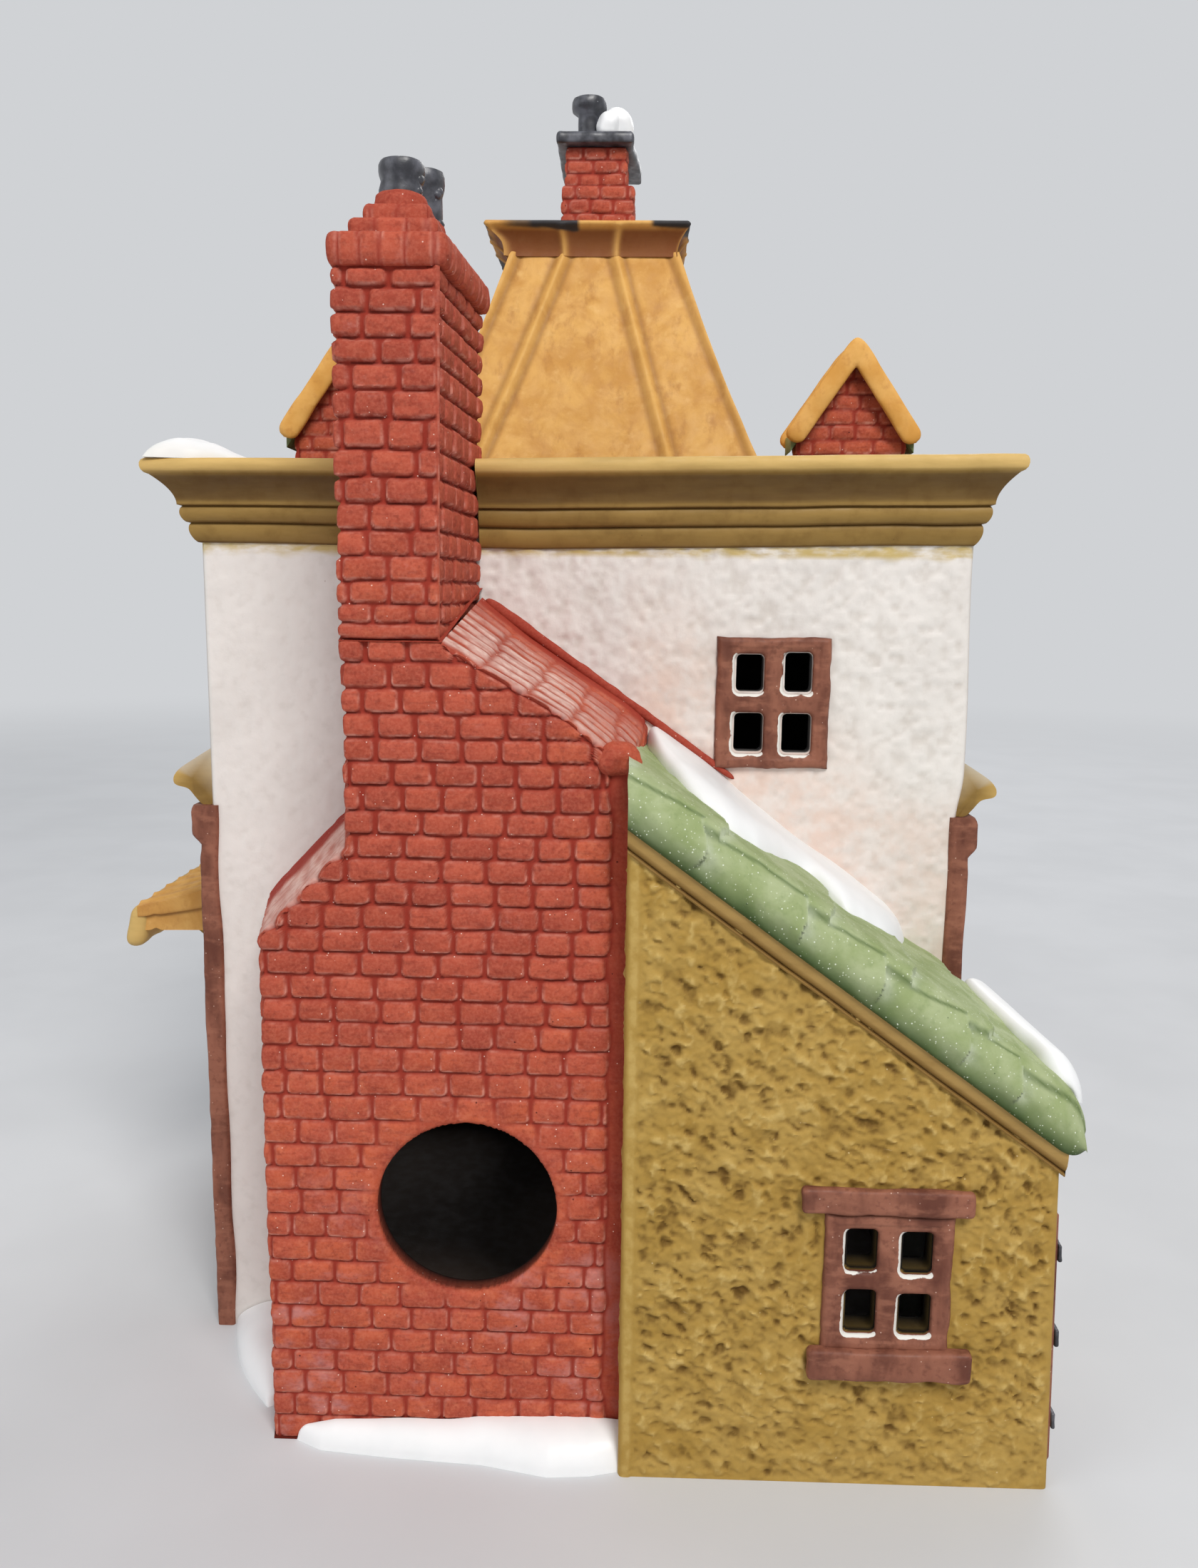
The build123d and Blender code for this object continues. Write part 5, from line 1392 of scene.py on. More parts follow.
def window(node, side, centre, seed, size=FRAME, pane=(5.4, 7.5, 1.0), layout=None, chips=0.7, step=0.24):
    """A moulded frame with rounded bars, a little uneven in outline."""
    layout = layout or {"pitch": PITCH, "columns": 2, "rows": 2}
    across, up = (np.array(a, float) for a in SIDES[side][:2])
    w, h, thick = size
    spare = 0.3
    wide, high = w + 2 * spare, h + 2 * spare
    origin = np.array(centre, float) - across * wide / 2 - up * high / 2
    holes = boxes_keep(*panes(wide / 2, high / 2, pane, seed=seed, **layout))
    reach = [n * p / 2 - 0.5 for n, p in zip((layout["columns"], layout["rows"]), layout["pitch"])]

    def border(u, v):
        flat = np.minimum(np.minimum(u, wide - u), np.minimum(v, high - v))
        return flat - spare + 0.2 * flat_noise(u, v, 3.0, seed) + 0.08 * flat_noise(u, v, 1.1, seed + 3)

    def keep(u, v):
        return np.minimum(holes(u, v), border(u, v))

    def relief(u, v):
        between = (np.abs(u - wide / 2) < reach[0]) & (np.abs(v - high / 2) < reach[1])
        bar = rounded(np.maximum(holes(u, v), 0) + 0.03, 0.95)
        edge = rounded(np.maximum(border(u, v), 0) + 0.05, 0.9)
        shape = thick * np.where(between, 0.86, 1.0) * edge * (0.4 + 0.6 * bar)
        return shape + 0.05 * flat_noise(u, v, 1.2, seed + 1) + 0.07 * flat_noise(u, v, 3.2, seed + 2)

    def values(u, v, z):
        left, below = (ease(0.2, 0.8, -slope) for slope in slopes(holes, u, v, 0.05))
        patchy = 0.85 + 0.5 * flat_noise(u, v, 2.2, seed + 4)
        chip = chips * ease(0.95, 0.0, holes(u, v)) * (0.25 + np.maximum(left, below)) * patchy
        # Chips show bare porcelain; the frame's low parts are painted darker as shade
        return {"chip": np.clip(chip, 0, 1), "recess": ease(0.9, 0.3, z)}

    soup = panel(Soup(), side, origin, wide, high, step, 0.0, relief, keep, values, 0.0, {"chip": chips})
    soup.make(node + "_frame", "brown_trim", node, sharp=55)


window("window_rear", "rear", (REAR_WINDOW[0], -DEEP, REAR_WINDOW[1]), 81, chips=0.95)
window("window_leanto", "rear", (LEAN_WINDOW[0], LEAN_FRONT, LEAN_WINDOW[1]), 82, chips=1.0)
window("window_right", "right", (HALF, SIDE_WINDOW_Y, UPPER), 83)
window("window_left", "left", (-HALF, SIDE_WINDOW_Y, UPPER), 84)
window("window_front_upper_left", "front", (FRONT_WINDOWS[0], DEEP, UPPER), 85)
window("window_front_upper_right", "front", (FRONT_WINDOWS[1], DEEP, UPPER), 86)
for name, x in zip(("shop_window_left", "shop_window_right"), SHOP_WINDOWS):
    window(name, "front", (x, DEEP, SHOP_UP), 87, (42, 66, 1.2), (10.4, 13, 1.1), SHOP_PANES, 0.6, 0.36)


# Lean-to

def verge(x):
    return VERGE - FALL * (x - LEAN_LEFT)


def lean_in(soup):
    """The right wall leans in towards its top."""
    for p in soup.points:
        p[:, 0] -= 1.8 * np.clip(p[:, 2] / 55, 0, 1) * ease(66, LEAN_RIGHT, p[:, 0])
    return soup


def pitted(seed, quiet):
    """Trowelled stucco: close small pits, some drawn out aslant, between rounded ridges, and a few beads."""
    def relief(u, v):
        wu = u + 0.42 * flat_noise(u, v, 1.05, seed) + 0.9 * flat_noise(u, v, 9, seed + 1)
        wv = v + 0.42 * flat_noise(u, v, 1.05, seed + 2) + 0.9 * flat_noise(u, v, 9, seed + 3)
        along, across = 0.81 * wu - 0.59 * wv, 0.59 * wu + 0.81 * wv
        d, who = cells(along / 1.35, across, 1.6, seed + 4)
        pit = ease(0, 1, np.clip(1 - (d / (0.62 + 0.32 * who)) ** 2, 0, 1)) * (0.6 + 0.4 * who)
        ridge = flat_noise(along / 1.5, across, 1.25, seed + 5) + 0.5 * flat_noise(wu, wv, 0.65, seed + 8)
        lump = flat_noise(along / 1.3, across, 2.3, seed + 6)
        d, who = cells(u, v, 11.0, seed + 7)
        bead = np.sqrt(np.clip(1 - (d / (0.42 + 0.2 * np.abs(who))) ** 2, 0, 1)) * (who > 0.1)
        return (0.28 * lump + 0.38 * ridge - 0.42 * pit + 0.45 * bead) * quiet(u, v)
    return relief


def build_leanto():
    soup = Soup()
    width = LEAN_RIGHT - LEAN_LEFT
    wu, wv = LEAN_WINDOW[0] - LEAN_LEFT, LEAN_WINDOW[1]
    holes = boxes_keep(*panes(wu + OPENING_SHIFT[0], wv + OPENING_SHIFT[1], (4.9, 6.9, 0.8), seed=82))

    def keep(u, v):
        return np.minimum(holes(u, v), (verge(u + LEAN_LEFT) - 0.3 - v) * 0.808)

    def quiet(u, v):
        beside = np.maximum(np.abs(u - wu) - 10.6, np.abs(v - wv) - 13.0)
        ragged = u + 0.5 * line_noise(v, 3, 91)
        border = ease(1.7, 3.2, ragged) * ease(0.4, 1.8, width - u) * ease(0, 1.0, v)
        return border * ease(-0.6, 1.2, beside) * lerp(0.8, 1, ease(2, 16, v + 4 * flat_noise(u, v, 12, 92)))

    rough = pitted(93, quiet)

    def relief(u, v):
        strip = 0.22 * ease(2.2, 1.8, u)
        return rough(u, v) + strip - 0.9 * (1 - rounded(np.minimum(u, width - u), 1.0))

    def values(u, v, h):
        # Painted shade in the pits, painted highlight on what stands out, and painted shade round the panes
        pit = ease(-0.06, -0.62, h) * ease(0.8, 1.6, np.minimum(u, width - u))
        return {"pit": pit, "high": ease(0.05, 0.34, h), "inside": ease(0.6, 0.2, holes(u, v))}

    panel(soup, "rear", (LEAN_LEFT, LEAN_FRONT, 0), width, VERGE, 0.28, WALL, relief, keep, values)
    deep = LEAN_DEEP - WALL
    sides = (("left", (LEAN_LEFT, -DEEP, 0), VERGE), ("right", (LEAN_RIGHT, LEAN_FRONT + WALL, 0), EAVE))
    for side, origin, high in sides:
        # The side walls take the same painted shade in pits and painted highlight on ridges
        panel(soup, side, origin, deep, high, 0.55, WALL,
              pitted(95, lambda u, v: 0.6 * ease(0, 2, u) * ease(0, 2, deep - u)), None,
              lambda u, v, h: {"pit": 0.7 * ease(-0.05, -0.35, h), "high": ease(0.05, 0.25, h)})
    # The floor, painted near black as painted shade
    block(soup, ((LEAN_LEFT + LEAN_RIGHT) / 2, (LEAN_FRONT - DEEP) / 2, 1.5),
          (width - 2 * WALL, LEAN_DEEP - 2 * WALL, 3), 0.3, 6, values={"inside": 1.0})
    lean_in(soup).make("leanto_walls_stucco", "olive_stucco", "leanto_walls", sharp=50)


build_leanto()

LIPS_LOW, LIPS_HIGH = (19.9, 35.7, 48.0, 61.3, 69.7), (22.4, 39.5, 52.0, 64.5)
ROW_GIRTH = 11.2


def shingles(x, lips):
    """Share along each shingle, from 0 at the lip above to 1 at its own, and the distances to both lips."""
    edges = np.array((lips[0] - 15, *lips, lips[-1] + 15))
    k = np.clip(np.searchsorted(edges, x, "right") - 1, 0, len(edges) - 2)
    return (x - edges[k]) / (edges[k + 1] - edges[k]), x - edges[k], edges[k + 1] - x


def build_leanto_roof():
    bulge = smooth_line([(-88.6, -1.0), (-89.9, -1.2), (-90.8, -0.4), (-91.2, 2.4), (-90.9, 5.2),
                         (-89.7, 7.5), (-87.4, 8.7), (-84, ROOF_THICK), (-80, ROOF_THICK)], 64)
    back = np.stack([np.linspace(-79.4, -50, 60), np.full(60, ROOF_THICK)], 1)
    line = np.concatenate([[(-50, 0), (-70, 0), (-86, 0), (-88.0, -0.3)], bulge, back])
    reach = np.concatenate([[0], np.cumsum(np.hypot(*np.diff(line, axis=0).T))])
    x = np.linspace(LEAN_LEFT, LEAN_RIGHT + 1.3, 250)
    y, rise, girth = line[:, :1], line[:, 1:], (reach - reach[4])[:, None]
    a = x[None] + 0 * y
    g = girth + 0 * a
    ragged = 0.35 * flat_noise(a, g, 2.2, 102) + 0.7 * flat_noise(a, g, 7, 101)
    low, past_low, to_low = shingles(a + ragged + 1.4 * ease(8, 3, g), LIPS_LOW)
    high, past_high, to_high = shingles(a + ragged - 1.5 * ease(11, 15, g), LIPS_HIGH)
    upper = ease(-0.6, 0.6, g - ROW_GIRTH - 0.9 * line_noise(a, 9, 106) - 1.6 * (low - 0.5))
    seat = ease(2.5, 6.0, g) * ease(-50, -53, y)
    tile = lerp(0.95 * low - 0.55, 0.9 * high + 0.05, upper) * seat
    tile = tile + (0.14 * flat_noise(a, g, 4, 103) + 0.08 * flat_noise(a, g, 1.6, 104)) * ease(0.5, 3, g)
    end = np.clip((x - (LEAN_RIGHT - 3.4)) / 4.7, 0, 1)
    droop = np.sqrt(np.clip(1 - end ** 2.2, 0.02, 1))
    toward = ease(3, 7, rise)
    p = np.empty(a.shape + (3,))
    p[..., 0] = x + 0.4 * tile * toward
    p[..., 1] = np.where(y < -80, y - tile * (1 - toward) * 0.8 - 0.3 * tile, y + 0 * a)
    p[..., 1] += 1.2 * (end ** 2)[None] * (y < -86)
    p[..., 2] = verge(x)[None] + (rise + tile * toward) * lerp(1, droop, 0.6)[None]
    p[..., 2] += 2.2 * (end ** 2.5)[None] * ease(4, -1, rise)
    past_bulge = ease(3.5, 6, g)
    lip_low = (bell(past_low, 1.3) + 0.6 * bell(to_low, 0.3)) * past_bulge
    lip_high = bell(past_high, 1.3) + 0.6 * bell(to_high, 0.3)
    # Painted shade on the verge's underside
    values = {"lip": np.clip(lerp(lip_low, lip_high, upper), 0, 1) * seat,
              "seam": bell(upper - 0.5, 0.34) * past_bulge,
              "under": ease(8.2, 1.2, g + 0.6 * flat_noise(a, g, 3, 105))}
    soup = Soup().grid(p, values)
    cap_ends(soup, p, values)
    soup.make("leanto_roof_tiles", "green_tile", "leanto_roof", sharp=55)


build_leanto_roof()


def build_leanto_moulding():
    profile = np.array([(0, -5.2), (0.3, -5.2), (0.6, -5.05), (0.68, -4.8), (0.5, -4.55), (0.25, -4.35),
                        (0.5, -4.1), (0.95, -3.7), (1.25, -3.0), (1.42, -2.0), (1.48, -1.0), (1.4, -0.3),
                        (1.25, 0), (0, 0)])
    x = np.linspace(LEAN_LEFT, LEAN_RIGHT - 1.4, 130)
    proud, up = profile[:, :1], profile[:, 1:]
    y = LEAN_FRONT - proud - 0.1 * flat_noise(x, up, 6, 111) * (proud > 0.2)
    p = xyz(x, y, verge(x) + up + 0.15 * line_noise(x, 8, 112))
    flat = np.zeros(p.shape[:2])
    # Painted shade over the moulding, deepest in the groove, and painted highlight on the band above it
    values = {"recess": flat + 0.3 + 0.7 * bell(up + 4.4, 0.3), "warm": flat + 0.5,
              "light": flat + 0.3 * ease(-3.8, -3.0, up) * ease(-0.2, -1.0, up)}
    soup = Soup().grid(p, values)
    cap_ends(soup, p, values)
    soup.make("leanto_moulding_olive", "olive_trim", "leanto_moulding", sharp=50)


build_leanto_moulding()


def rough_beam(name, node, centre, size, seed):
    soup = block(Soup(), centre, size, 0.85, 0.5, wobble=0.24, seed=seed, grain=4.5, values={"recess": 0.0})
    soup.make(name, "brown_trim", node, sharp=60)


rough_beam("leanto_lintel_beam", "leanto_lintel", (50.65, LEAN_FRONT - 1.0, 50.4), (27.3, 2.0, 4.4), 121)
rough_beam("leanto_sill_beam", "leanto_sill", (52.0, LEAN_FRONT - 1.3, 22.6), (26.4, 2.6, 5.2), 122)


DOOR_THICK = 1.2


def build_door(name, node, side, centre, width, height, planks, seed):
    """A boarded door with a frame round it."""
    across, up = (np.array(a, float) for a in SIDES[side][:2])
    origin = np.array(centre, float) - across * width / 2 - up * height / 2

    def relief(u, v):
        rim = np.minimum(np.minimum(u, width - u), height - v)
        board = np.abs(np.mod((u - 2) / ((width - 4) / planks), 1) - 0.5) * 2
        grain = 0.08 * flat_noise(u * 3, v * 0.35, 1.2, seed) + 0.05 * flat_noise(u, v, 1.0, seed + 1)
        field = 0.62 * DOOR_THICK - 0.35 * ease(0.86, 0.97, board) + grain
        return lerp(field, DOOR_THICK, ease(2.3, 1.9, rim)) * rounded(np.minimum(rim, v) + 0.1, 0.5)

    # The low parts of the boards are painted darker as shade
    soup = panel(Soup(), side, origin, width, height, 0.35, 0.0, relief, None,
                 lambda u, v, h: {"recess": ease(0.62 * DOOR_THICK, 0.3 * DOOR_THICK, h)}, inside=0.0)
    (lean_in(soup) if side == "right" else soup).make(name, "brown_trim", node, sharp=50)


LEAN_DOOR = (LEAN_RIGHT, -73.4, 25)
HINGE_PITCH, HINGE = 14.96, (0.8, 18, 3.0)
STUDS, STUD_DOME = (-82.5, -77.5, -72.5, -69), [(0.9, 0), (0.85, 0.25), (0.5, 0.45), (0, 0.5)]
build_door("leanto_door_boards", "leanto_door", "right", LEAN_DOOR, 24, 44, 5, 131)
build_door("side_door_boards", "side_door", "left", (-HALF, -7, 26.7), 20, 47.4, 4, 133)
build_door("front_door_boards", "front_door", "front", (0, DEEP, 36.1), 22, 66.1, 4, 135)


def build_hinges():
    soup = Soup()
    for k in (-1, 0, 1):
        z = LEAN_DOOR[2] + k * HINGE_PITCH
        block(soup, (LEAN_RIGHT + 1.6, -76.4, z), HINGE, 0.38, 0.5, wobble=0.12, seed=140 + k, grain=2.5)
        for y in STUDS:
            lathe(soup, (0, 0, 0), STUD_DOME, 16)
            dome = soup.points[-1]
            soup.points[-1] = xyz(dome[:, 2] + LEAN_RIGHT + 1.85, dome[:, 0] + y, dome[:, 1] + z)
    lean_in(soup).make("leanto_hinges_black", "black_paint", "leanto_hinges", sharp=55)


build_hinges()


# Snow

SNOW_SINK, SNOW_BACK = 0.5, -49.8
# How far the roof snow reaches from the wall, at places across the house
SNOW_FRONT = ((11.4, 0), (13.2, 14), (18, 27), (24, 32.5), (29, 31), (34, 24), (38.5, 18), (44, 25.5),
              (50, 24), (55, 19), (58.5, 9), (60.3, 0))


def snow_sheet(name, node, top, flat, end=False):
    """A snow surface closed by the ground below it, at its last row and, if asked, at its right end."""
    soup = Soup().grid(top)
    soup.grid(flat, flip=True)
    soup.grid(np.stack([flat[-1], top[-1]]), flip=True)
    if end:
        soup.grid(np.stack([flat[:, -1], top[:, -1]]))
    soup.make(name, "snow_glaze", node, sharp=70)


def build_leanto_snow():
    at = np.linspace(SNOW_FRONT[0][0], SNOW_FRONT[-1][0], 170)
    reach = np.interp(at, *zip(*SNOW_FRONT))
    for _ in range(40):
        reach[1:-1] = (reach[:-2] + 2 * reach[1:-1] + reach[2:]) / 4
    share = np.linspace(0, 1, 60) ** 1.6
    x = at[None] + 0 * share[:, None]
    depth = reach[None] * (1 + 0.03 * line_noise(x, 2.5, 151))
    y = SNOW_BACK - depth * (1 - share[:, None])
    inward = depth * share[:, None]
    lift = 4.7 * rounded(inward, 7.5) + 0.3 * ease(4, 28, inward)
    lift = lift + 1.1 * ease(36, 15, x) * ease(2, 14, inward)
    ends = np.minimum(rounded(at - at[0], 2.0), rounded(at[-1] - at, 5.0))
    lift = lift * (0.9 + 0.1 * flat_noise(x, y, 8, 152)) * ends[None]
    z = verge(x) + ROOF_THICK - SNOW_SINK
    snow_sheet("leanto_snow_glaze", "leanto_snow", xyz(x, y, z + lift), xyz(x, y, z))


def build_eave_snow():
    across, along = np.meshgrid(np.linspace(-1, 1, 44), np.linspace(0, 1, 70))
    run = along * 38
    end = np.minimum(rounded(run, 3.0), rounded((1 - along) * 38, 5.0))
    half = lerp(3.7, 4.2, along) * end * (1 + 0.22 * line_noise(run, 6, 154))
    x = lerp(74.6, 78.7, along) + across * half + 0.25 * flat_noise(run, across, 6, 153)
    y = lerp(SNOW_BACK, -87.5, along)
    lift = 5.0 * np.sqrt(np.clip(1 - across ** 2, 0, 1)) * end * lerp(0.75, 1.1, along)
    z = verge(x) + ROOF_THICK - 0.9
    soup = Soup().grid(xyz(x, y, z + lift), flip=True)
    soup.grid(xyz(x, y, z))
    soup.make("leanto_eave_snow_glaze", "snow_glaze", "leanto_eave_snow", sharp=70)


build_leanto_snow()
build_eave_snow()


def build_breast_drift():
    share, back = np.meshgrid(np.linspace(0, 1, 150), np.linspace(0, 1, 40))
    x = lerp(-46.6, 8.9, share)
    reach = np.interp(x, (-46.6, -42, -30, -14, -3, 4, 8.6), (0.3, 2.6, 3.9, 5.0, 7.4, 6.8, 5.6))
    y = -81.9 - reach * (1 - back)
    top = np.interp(x, (-46.6, -40, -20, 0, 8.6), (2.6, 4.2, 4.8, 6.0, 5.4))
    top = top * (1 + 0.07 * line_noise(x, 7, 162))
    lift = top * rounded(back, 1.0) * rounded(share * 55, 2.0)
    snow_sheet("breast_drift_glaze", "breast_drift", xyz(x, y, lift), xyz(x, y, 0 * x), True)


build_breast_drift()


def build_corner_drift():
    u, v = np.meshgrid(np.linspace(0, 1, 50), np.linspace(0, 1, 50))
    # Out along the breast, the nook between breast and wall, and out along the wall
    tip, nook, far = np.array([-52.9, -73.5]), np.array([-58.1, -50.2]), np.array([-67.6, -50.2])
    inner = lerp(nook, tip, u[..., None])
    outer = lerp(far, tip + (-1.2, -0.8), u[..., None])
    belly = 1.6 * np.sin(np.pi * u) * v
    xy = lerp(inner, outer, v[..., None]) + np.stack([-belly, -belly * 0.6], -1)
    lift = 6.0 * np.sqrt(np.clip(1 - v ** 2.2, 0, 1)) * np.sqrt(np.clip(1 - u ** 4, 0, 1))
    lift = lift * (0.9 + 0.1 * flat_noise(xy[..., 0], xy[..., 1], 6, 171))
    p = raised(xy, lift)
    flat = p * (1, 1, 0)
    soup = Soup().grid(p, flip=True)
    soup.grid(flat)
    soup.grid(np.stack([flat[0], p[0]]))
    soup.grid(np.stack([flat[:, 0], p[:, 0]]), flip=True)
    soup.make("corner_drift_glaze", "snow_glaze", "corner_drift", sharp=60)


build_corner_drift()


def build_ledge_snow():
    a, b = np.meshgrid(np.linspace(-1, 1, 70), np.linspace(-1, 1, 50))
    mound = np.clip((1 - np.abs(a) ** 2.6) * (1 - np.abs(b) ** 2.6), 0, 1) ** 0.45
    x = lerp(-75.6, -56.6, (a + 1) / 2)
    y = -51 + 4.8 * b * (1 - 0.25 * a) + 0.8 * line_noise(x, 5, 181)
    lift = 5.2 * mound * ease(1.2, -0.6, a) * (0.9 + 0.2 * flat_noise(x, y, 4, 182))
    z = np.full(x.shape, ROOF - 0.7)
    soup = Soup().grid(xyz(x, y, z + lift), {"tint": ease(1.0, 0.2, mound) * 0.35})
    soup.grid(xyz(x, y, z), flip=True)
    soup.make("ledge_snow_glaze", "snow_glaze", "ledge_snow", sharp=70)


build_ledge_snow()


# Mansard, curb and ridge chimney

# Outlines are (half width, half depth). The mansard's ribs run from a place at the foot to one at the top,
# and the curb's stand at shares of its half width
MANSARD, CURB = Box("mansard_roof"), Box("roof_curb")
MIDDLE_Y, MANSARD_HIGH = MANSARD.y, MANSARD.tall
MANSARD_LOW, MANSARD_TOP = (MANSARD.wide / 2, MANSARD.deep / 2), (16.5, 14.0)
CURB_WIDE = (CURB.wide / 2, CURB.deep / 2)
CURB_LOW, CURB_TOP = ROOF + MANSARD_HIGH, CURB.high
RIBS, CURB_RIBS = ((-23.1, -6.0), (16.3, 4.25)), (-0.33, 0.25, 1, -1)
TOP_CAP = (Box("top_chimney_cap").low, Box("top_chimney_cap").high)
# Tiers of the ridge chimney: x, half width, half depth, foot, top, seed
TIERS = ((0.55, 7.55, 12.5, CURB_TOP, 226.2, 201), (0.1, 6.5, 10.9, 226.2, TOP_CAP[0], 203))


def rectangle(w, d, x=0.0):
    return [(x - w, MIDDLE_Y - d), (x + w, MIDDLE_Y - d), (x + w, MIDDLE_Y + d), (x - w, MIDDLE_Y + d)]


def ways_along(turn, xy):
    """Distance from the middle of each of four sides, growing the way the outline runs."""
    return np.choose(turn % 4, (xy[..., 0], xy[..., 1] - MIDDLE_Y, -xy[..., 0], MIDDLE_Y - xy[..., 1]))


def build_mansard():
    s, foot, out, at = ring(rectangle(*MANSARD_LOW), 0.55, 0.9)
    turn = np.clip(np.searchsorted(at, s, "right") - 1, 0, 3)
    share = (s - at[turn]) / np.diff(at)[turn]
    tops = np.array(rectangle(*MANSARD_TOP), float)
    head = lerp(tops[turn], np.roll(tops, -1, 0)[turn], share[:, None])
    t = np.linspace(0, 1, 120)[:, None]
    xy = lerp(foot, head, t[..., None])
    way = ways_along(turn[None], xy)
    half = np.where(turn % 2 == 0, *(lerp(low, high, t) for low, high in zip(MANSARD_LOW, MANSARD_TOP)))
    near = np.minimum(np.abs(way - half), np.abs(way + half))
    for a, b in RIBS:
        near = np.minimum(near, np.abs(way - lerp(a, b, t)))
    rib, dip = bell(near, 0.85), bell(near - 1.7, 0.7)
    z = np.broadcast_to(ROOF + MANSARD_HIGH * t, near.shape)
    uneven = 0.1 * noise(raised(xy, z), 6, 191)
    h = 0.85 * rib - 0.16 * dip - 0.9 * np.sin(np.pi * t) + uneven
    points = raised(xy + out[None] * (0.93 * h)[..., None], z + 0.37 * h)
    points[0, :, 2] = ROOF
    # Painted shade beside the ribs and painted highlight on them
    soup = closed_tower(Soup(), points, {"recess": 0.7 * dip, "light": 0.7 * rib})
    soup.make("mansard_roof_copper", "copper_paint", "mansard_roof", sharp=60)


build_mansard()


def build_curb():
    s, top, out, at = ring(rectangle(*CURB_WIDE, -0.8), 0.4, 0.6)
    turn = np.clip(np.searchsorted(at, s, "right") - 1, 0, 3)
    rows = smooth_line([(-2.9, CURB_LOW - 0.6), (-2.9, CURB_LOW + 0.4), (-2.6, 214.1), (-2.0, 215.3),
                        (-1.1, 216.4), (-0.2, 217.1), (0.05, 217.5), (-0.2, 217.9), (-0.8, CURB_TOP),
                        (-3.5, CURB_TOP)], 44)
    ss, zz = np.meshgrid(s, rows[:, 1])
    way = ways_along(turn, top)
    half = np.where(turn % 2 == 0, *CURB_WIDE)
    near = np.min([np.abs(way - share * half) for share in CURB_RIBS], 0)[None]
    rib = bell(near, 0.75) * ease(217.9, 216.6, zz)
    h = 0.65 * rib + 0.16 * flat_noise(ss, zz, 4, 193)
    xy = spread(top, out, rows[:, :1] + h)
    xy[..., 0] -= 1.4 * ease(214, 217.5, zz) * ease(-8, -19, xy[..., 0])
    patches = ease(-0.1, 0.25, line_noise(ss, 7, 196) + 0.12)
    ragged = zz + 0.7 * line_noise(ss, 5, 194) + 0.25 * flat_noise(ss, zz, 1.5, 195)
    dark = patches * ease(216.4, 216.9, ragged)
    dark[-1] = 0
    points = raised(xy, zz)
    # The lower flare faces down and is painted darker as shade; painted highlight on the ribs
    ruddy = ease(217.2, 216.0, zz) * (1 - 0.75 * rib)
    soup = closed_tower(Soup(), points, {"dark": dark, "light": 0.7 * rib, "ruddy": ruddy})
    soup.make("roof_curb_copper", "copper_paint", "roof_curb", sharp=60)


build_curb()


def build_tiers():
    soup = Soup()
    for x, w, d, low, high, seed in TIERS:
        s, xy, out, at = ring(rectangle(w, d, x), 0.36, 0.6)
        courses = max(1, round((high - low) / 2.75))
        bond = Bond(np.linspace(low, high, courses + 1), 0, at[-1], 5.2, seed)

        def relief(ss, zz):
            h, values = bond.relief(ss, zz, 0.45, 0.2, 0.6)
            values["warm"] = 0.3 + 0 * ss
            return h, values

        rows = [(0, z) for z in np.linspace(low + 0.1, high - 0.25, 30)]
        rows = [(-0.3, low)] + rows + [(-0.35, high), (-2, high)]
        tower(soup, s, xy, out, rows, relief)
    soup.make("top_chimney_bricks", "brick", "top_chimney", sharp=60)


def build_top_cap():
    s, xy, out, _ = ring(rectangle(7.7, 12.8, -0.2), 0.4, 0.6)
    xy[:, 0] += 1.7 * ease(-6, 12.8, xy[:, 1]) * ease(0, 6, xy[:, 0])
    low, high = TOP_CAP
    rows = smooth_line([(-2, low), (-0.3, low), (0.0, low + 0.4), (0.05, low + 1.2), (-0.1, high - 0.6),
                        (-0.7, high - 0.1), (-2.5, high)], 20)
    cap = tower(Soup(), s, xy, out, rows, lambda ss, zz: (0.2 * flat_noise(ss, zz, 2.4, 205), {}))
    cap.make("top_chimney_cap_black", "black_paint", "top_chimney_cap", sharp=60)


def build_top_snow():
    """Two blobs of snow beside the pot."""
    blob = smooth_line([(0, 0), (2.2, 0.0), (3.3, 0.8), (3.5, 2.4), (3.4, 4.2), (2.8, 5.9), (1.6, 7.0),
                        (0, 7.3)], 30)
    blob[0], blob[-1] = (0, 0), (0, 7.3)
    snow = Soup()
    for x, y, size in ((2.5, -4.3, 0.68), (4.2, -2.4, 0.86)):
        lathe(snow, (x, y, TOP_CAP[1] - 0.1), blob * size, 44, 0.35, 209)
    snow.make("top_pot_snow_glaze", "snow_glaze", "top_pot_snow", sharp=70)


build_tiers()
build_top_cap()
pot("top_pot_black", "top_pot", (-1.6, -1.5, TOP_CAP[1] - 0.1), 2.5, 8.1, 207, 2.0, 1.42)
build_top_snow()


# Gablets

GABLE_ROOF, GABLE_BODY = Box("gable_roof_right"), Box("gable_body_right")
GABLE_RIGHT, GABLE_LEFT, GABLE_HALF, BODY_HALF = 53.4, -51.0, GABLE_ROOF.wide / 2, GABLE_BODY.wide / 2
APEX, GABLE_FALL, GABLE_THICK = GABLE_ROOF.high, 20.8, 2.5
GABLE_REAR, GABLE_FRONT, SIDE_OUT = GABLE_BODY.near, GABLE_BODY.far, 0.4
GABLE_SLOPE = GABLE_FALL / GABLE_HALF
GABLE_DROP = GABLE_THICK * math.hypot(1, GABLE_SLOPE)
# Outer and inner edge of a bargeboard: half width, height of the apex, roundness there
BOARD_EDGES = ((14.5, 198.0, 1.3), (10.9, 190.6, 0.25))


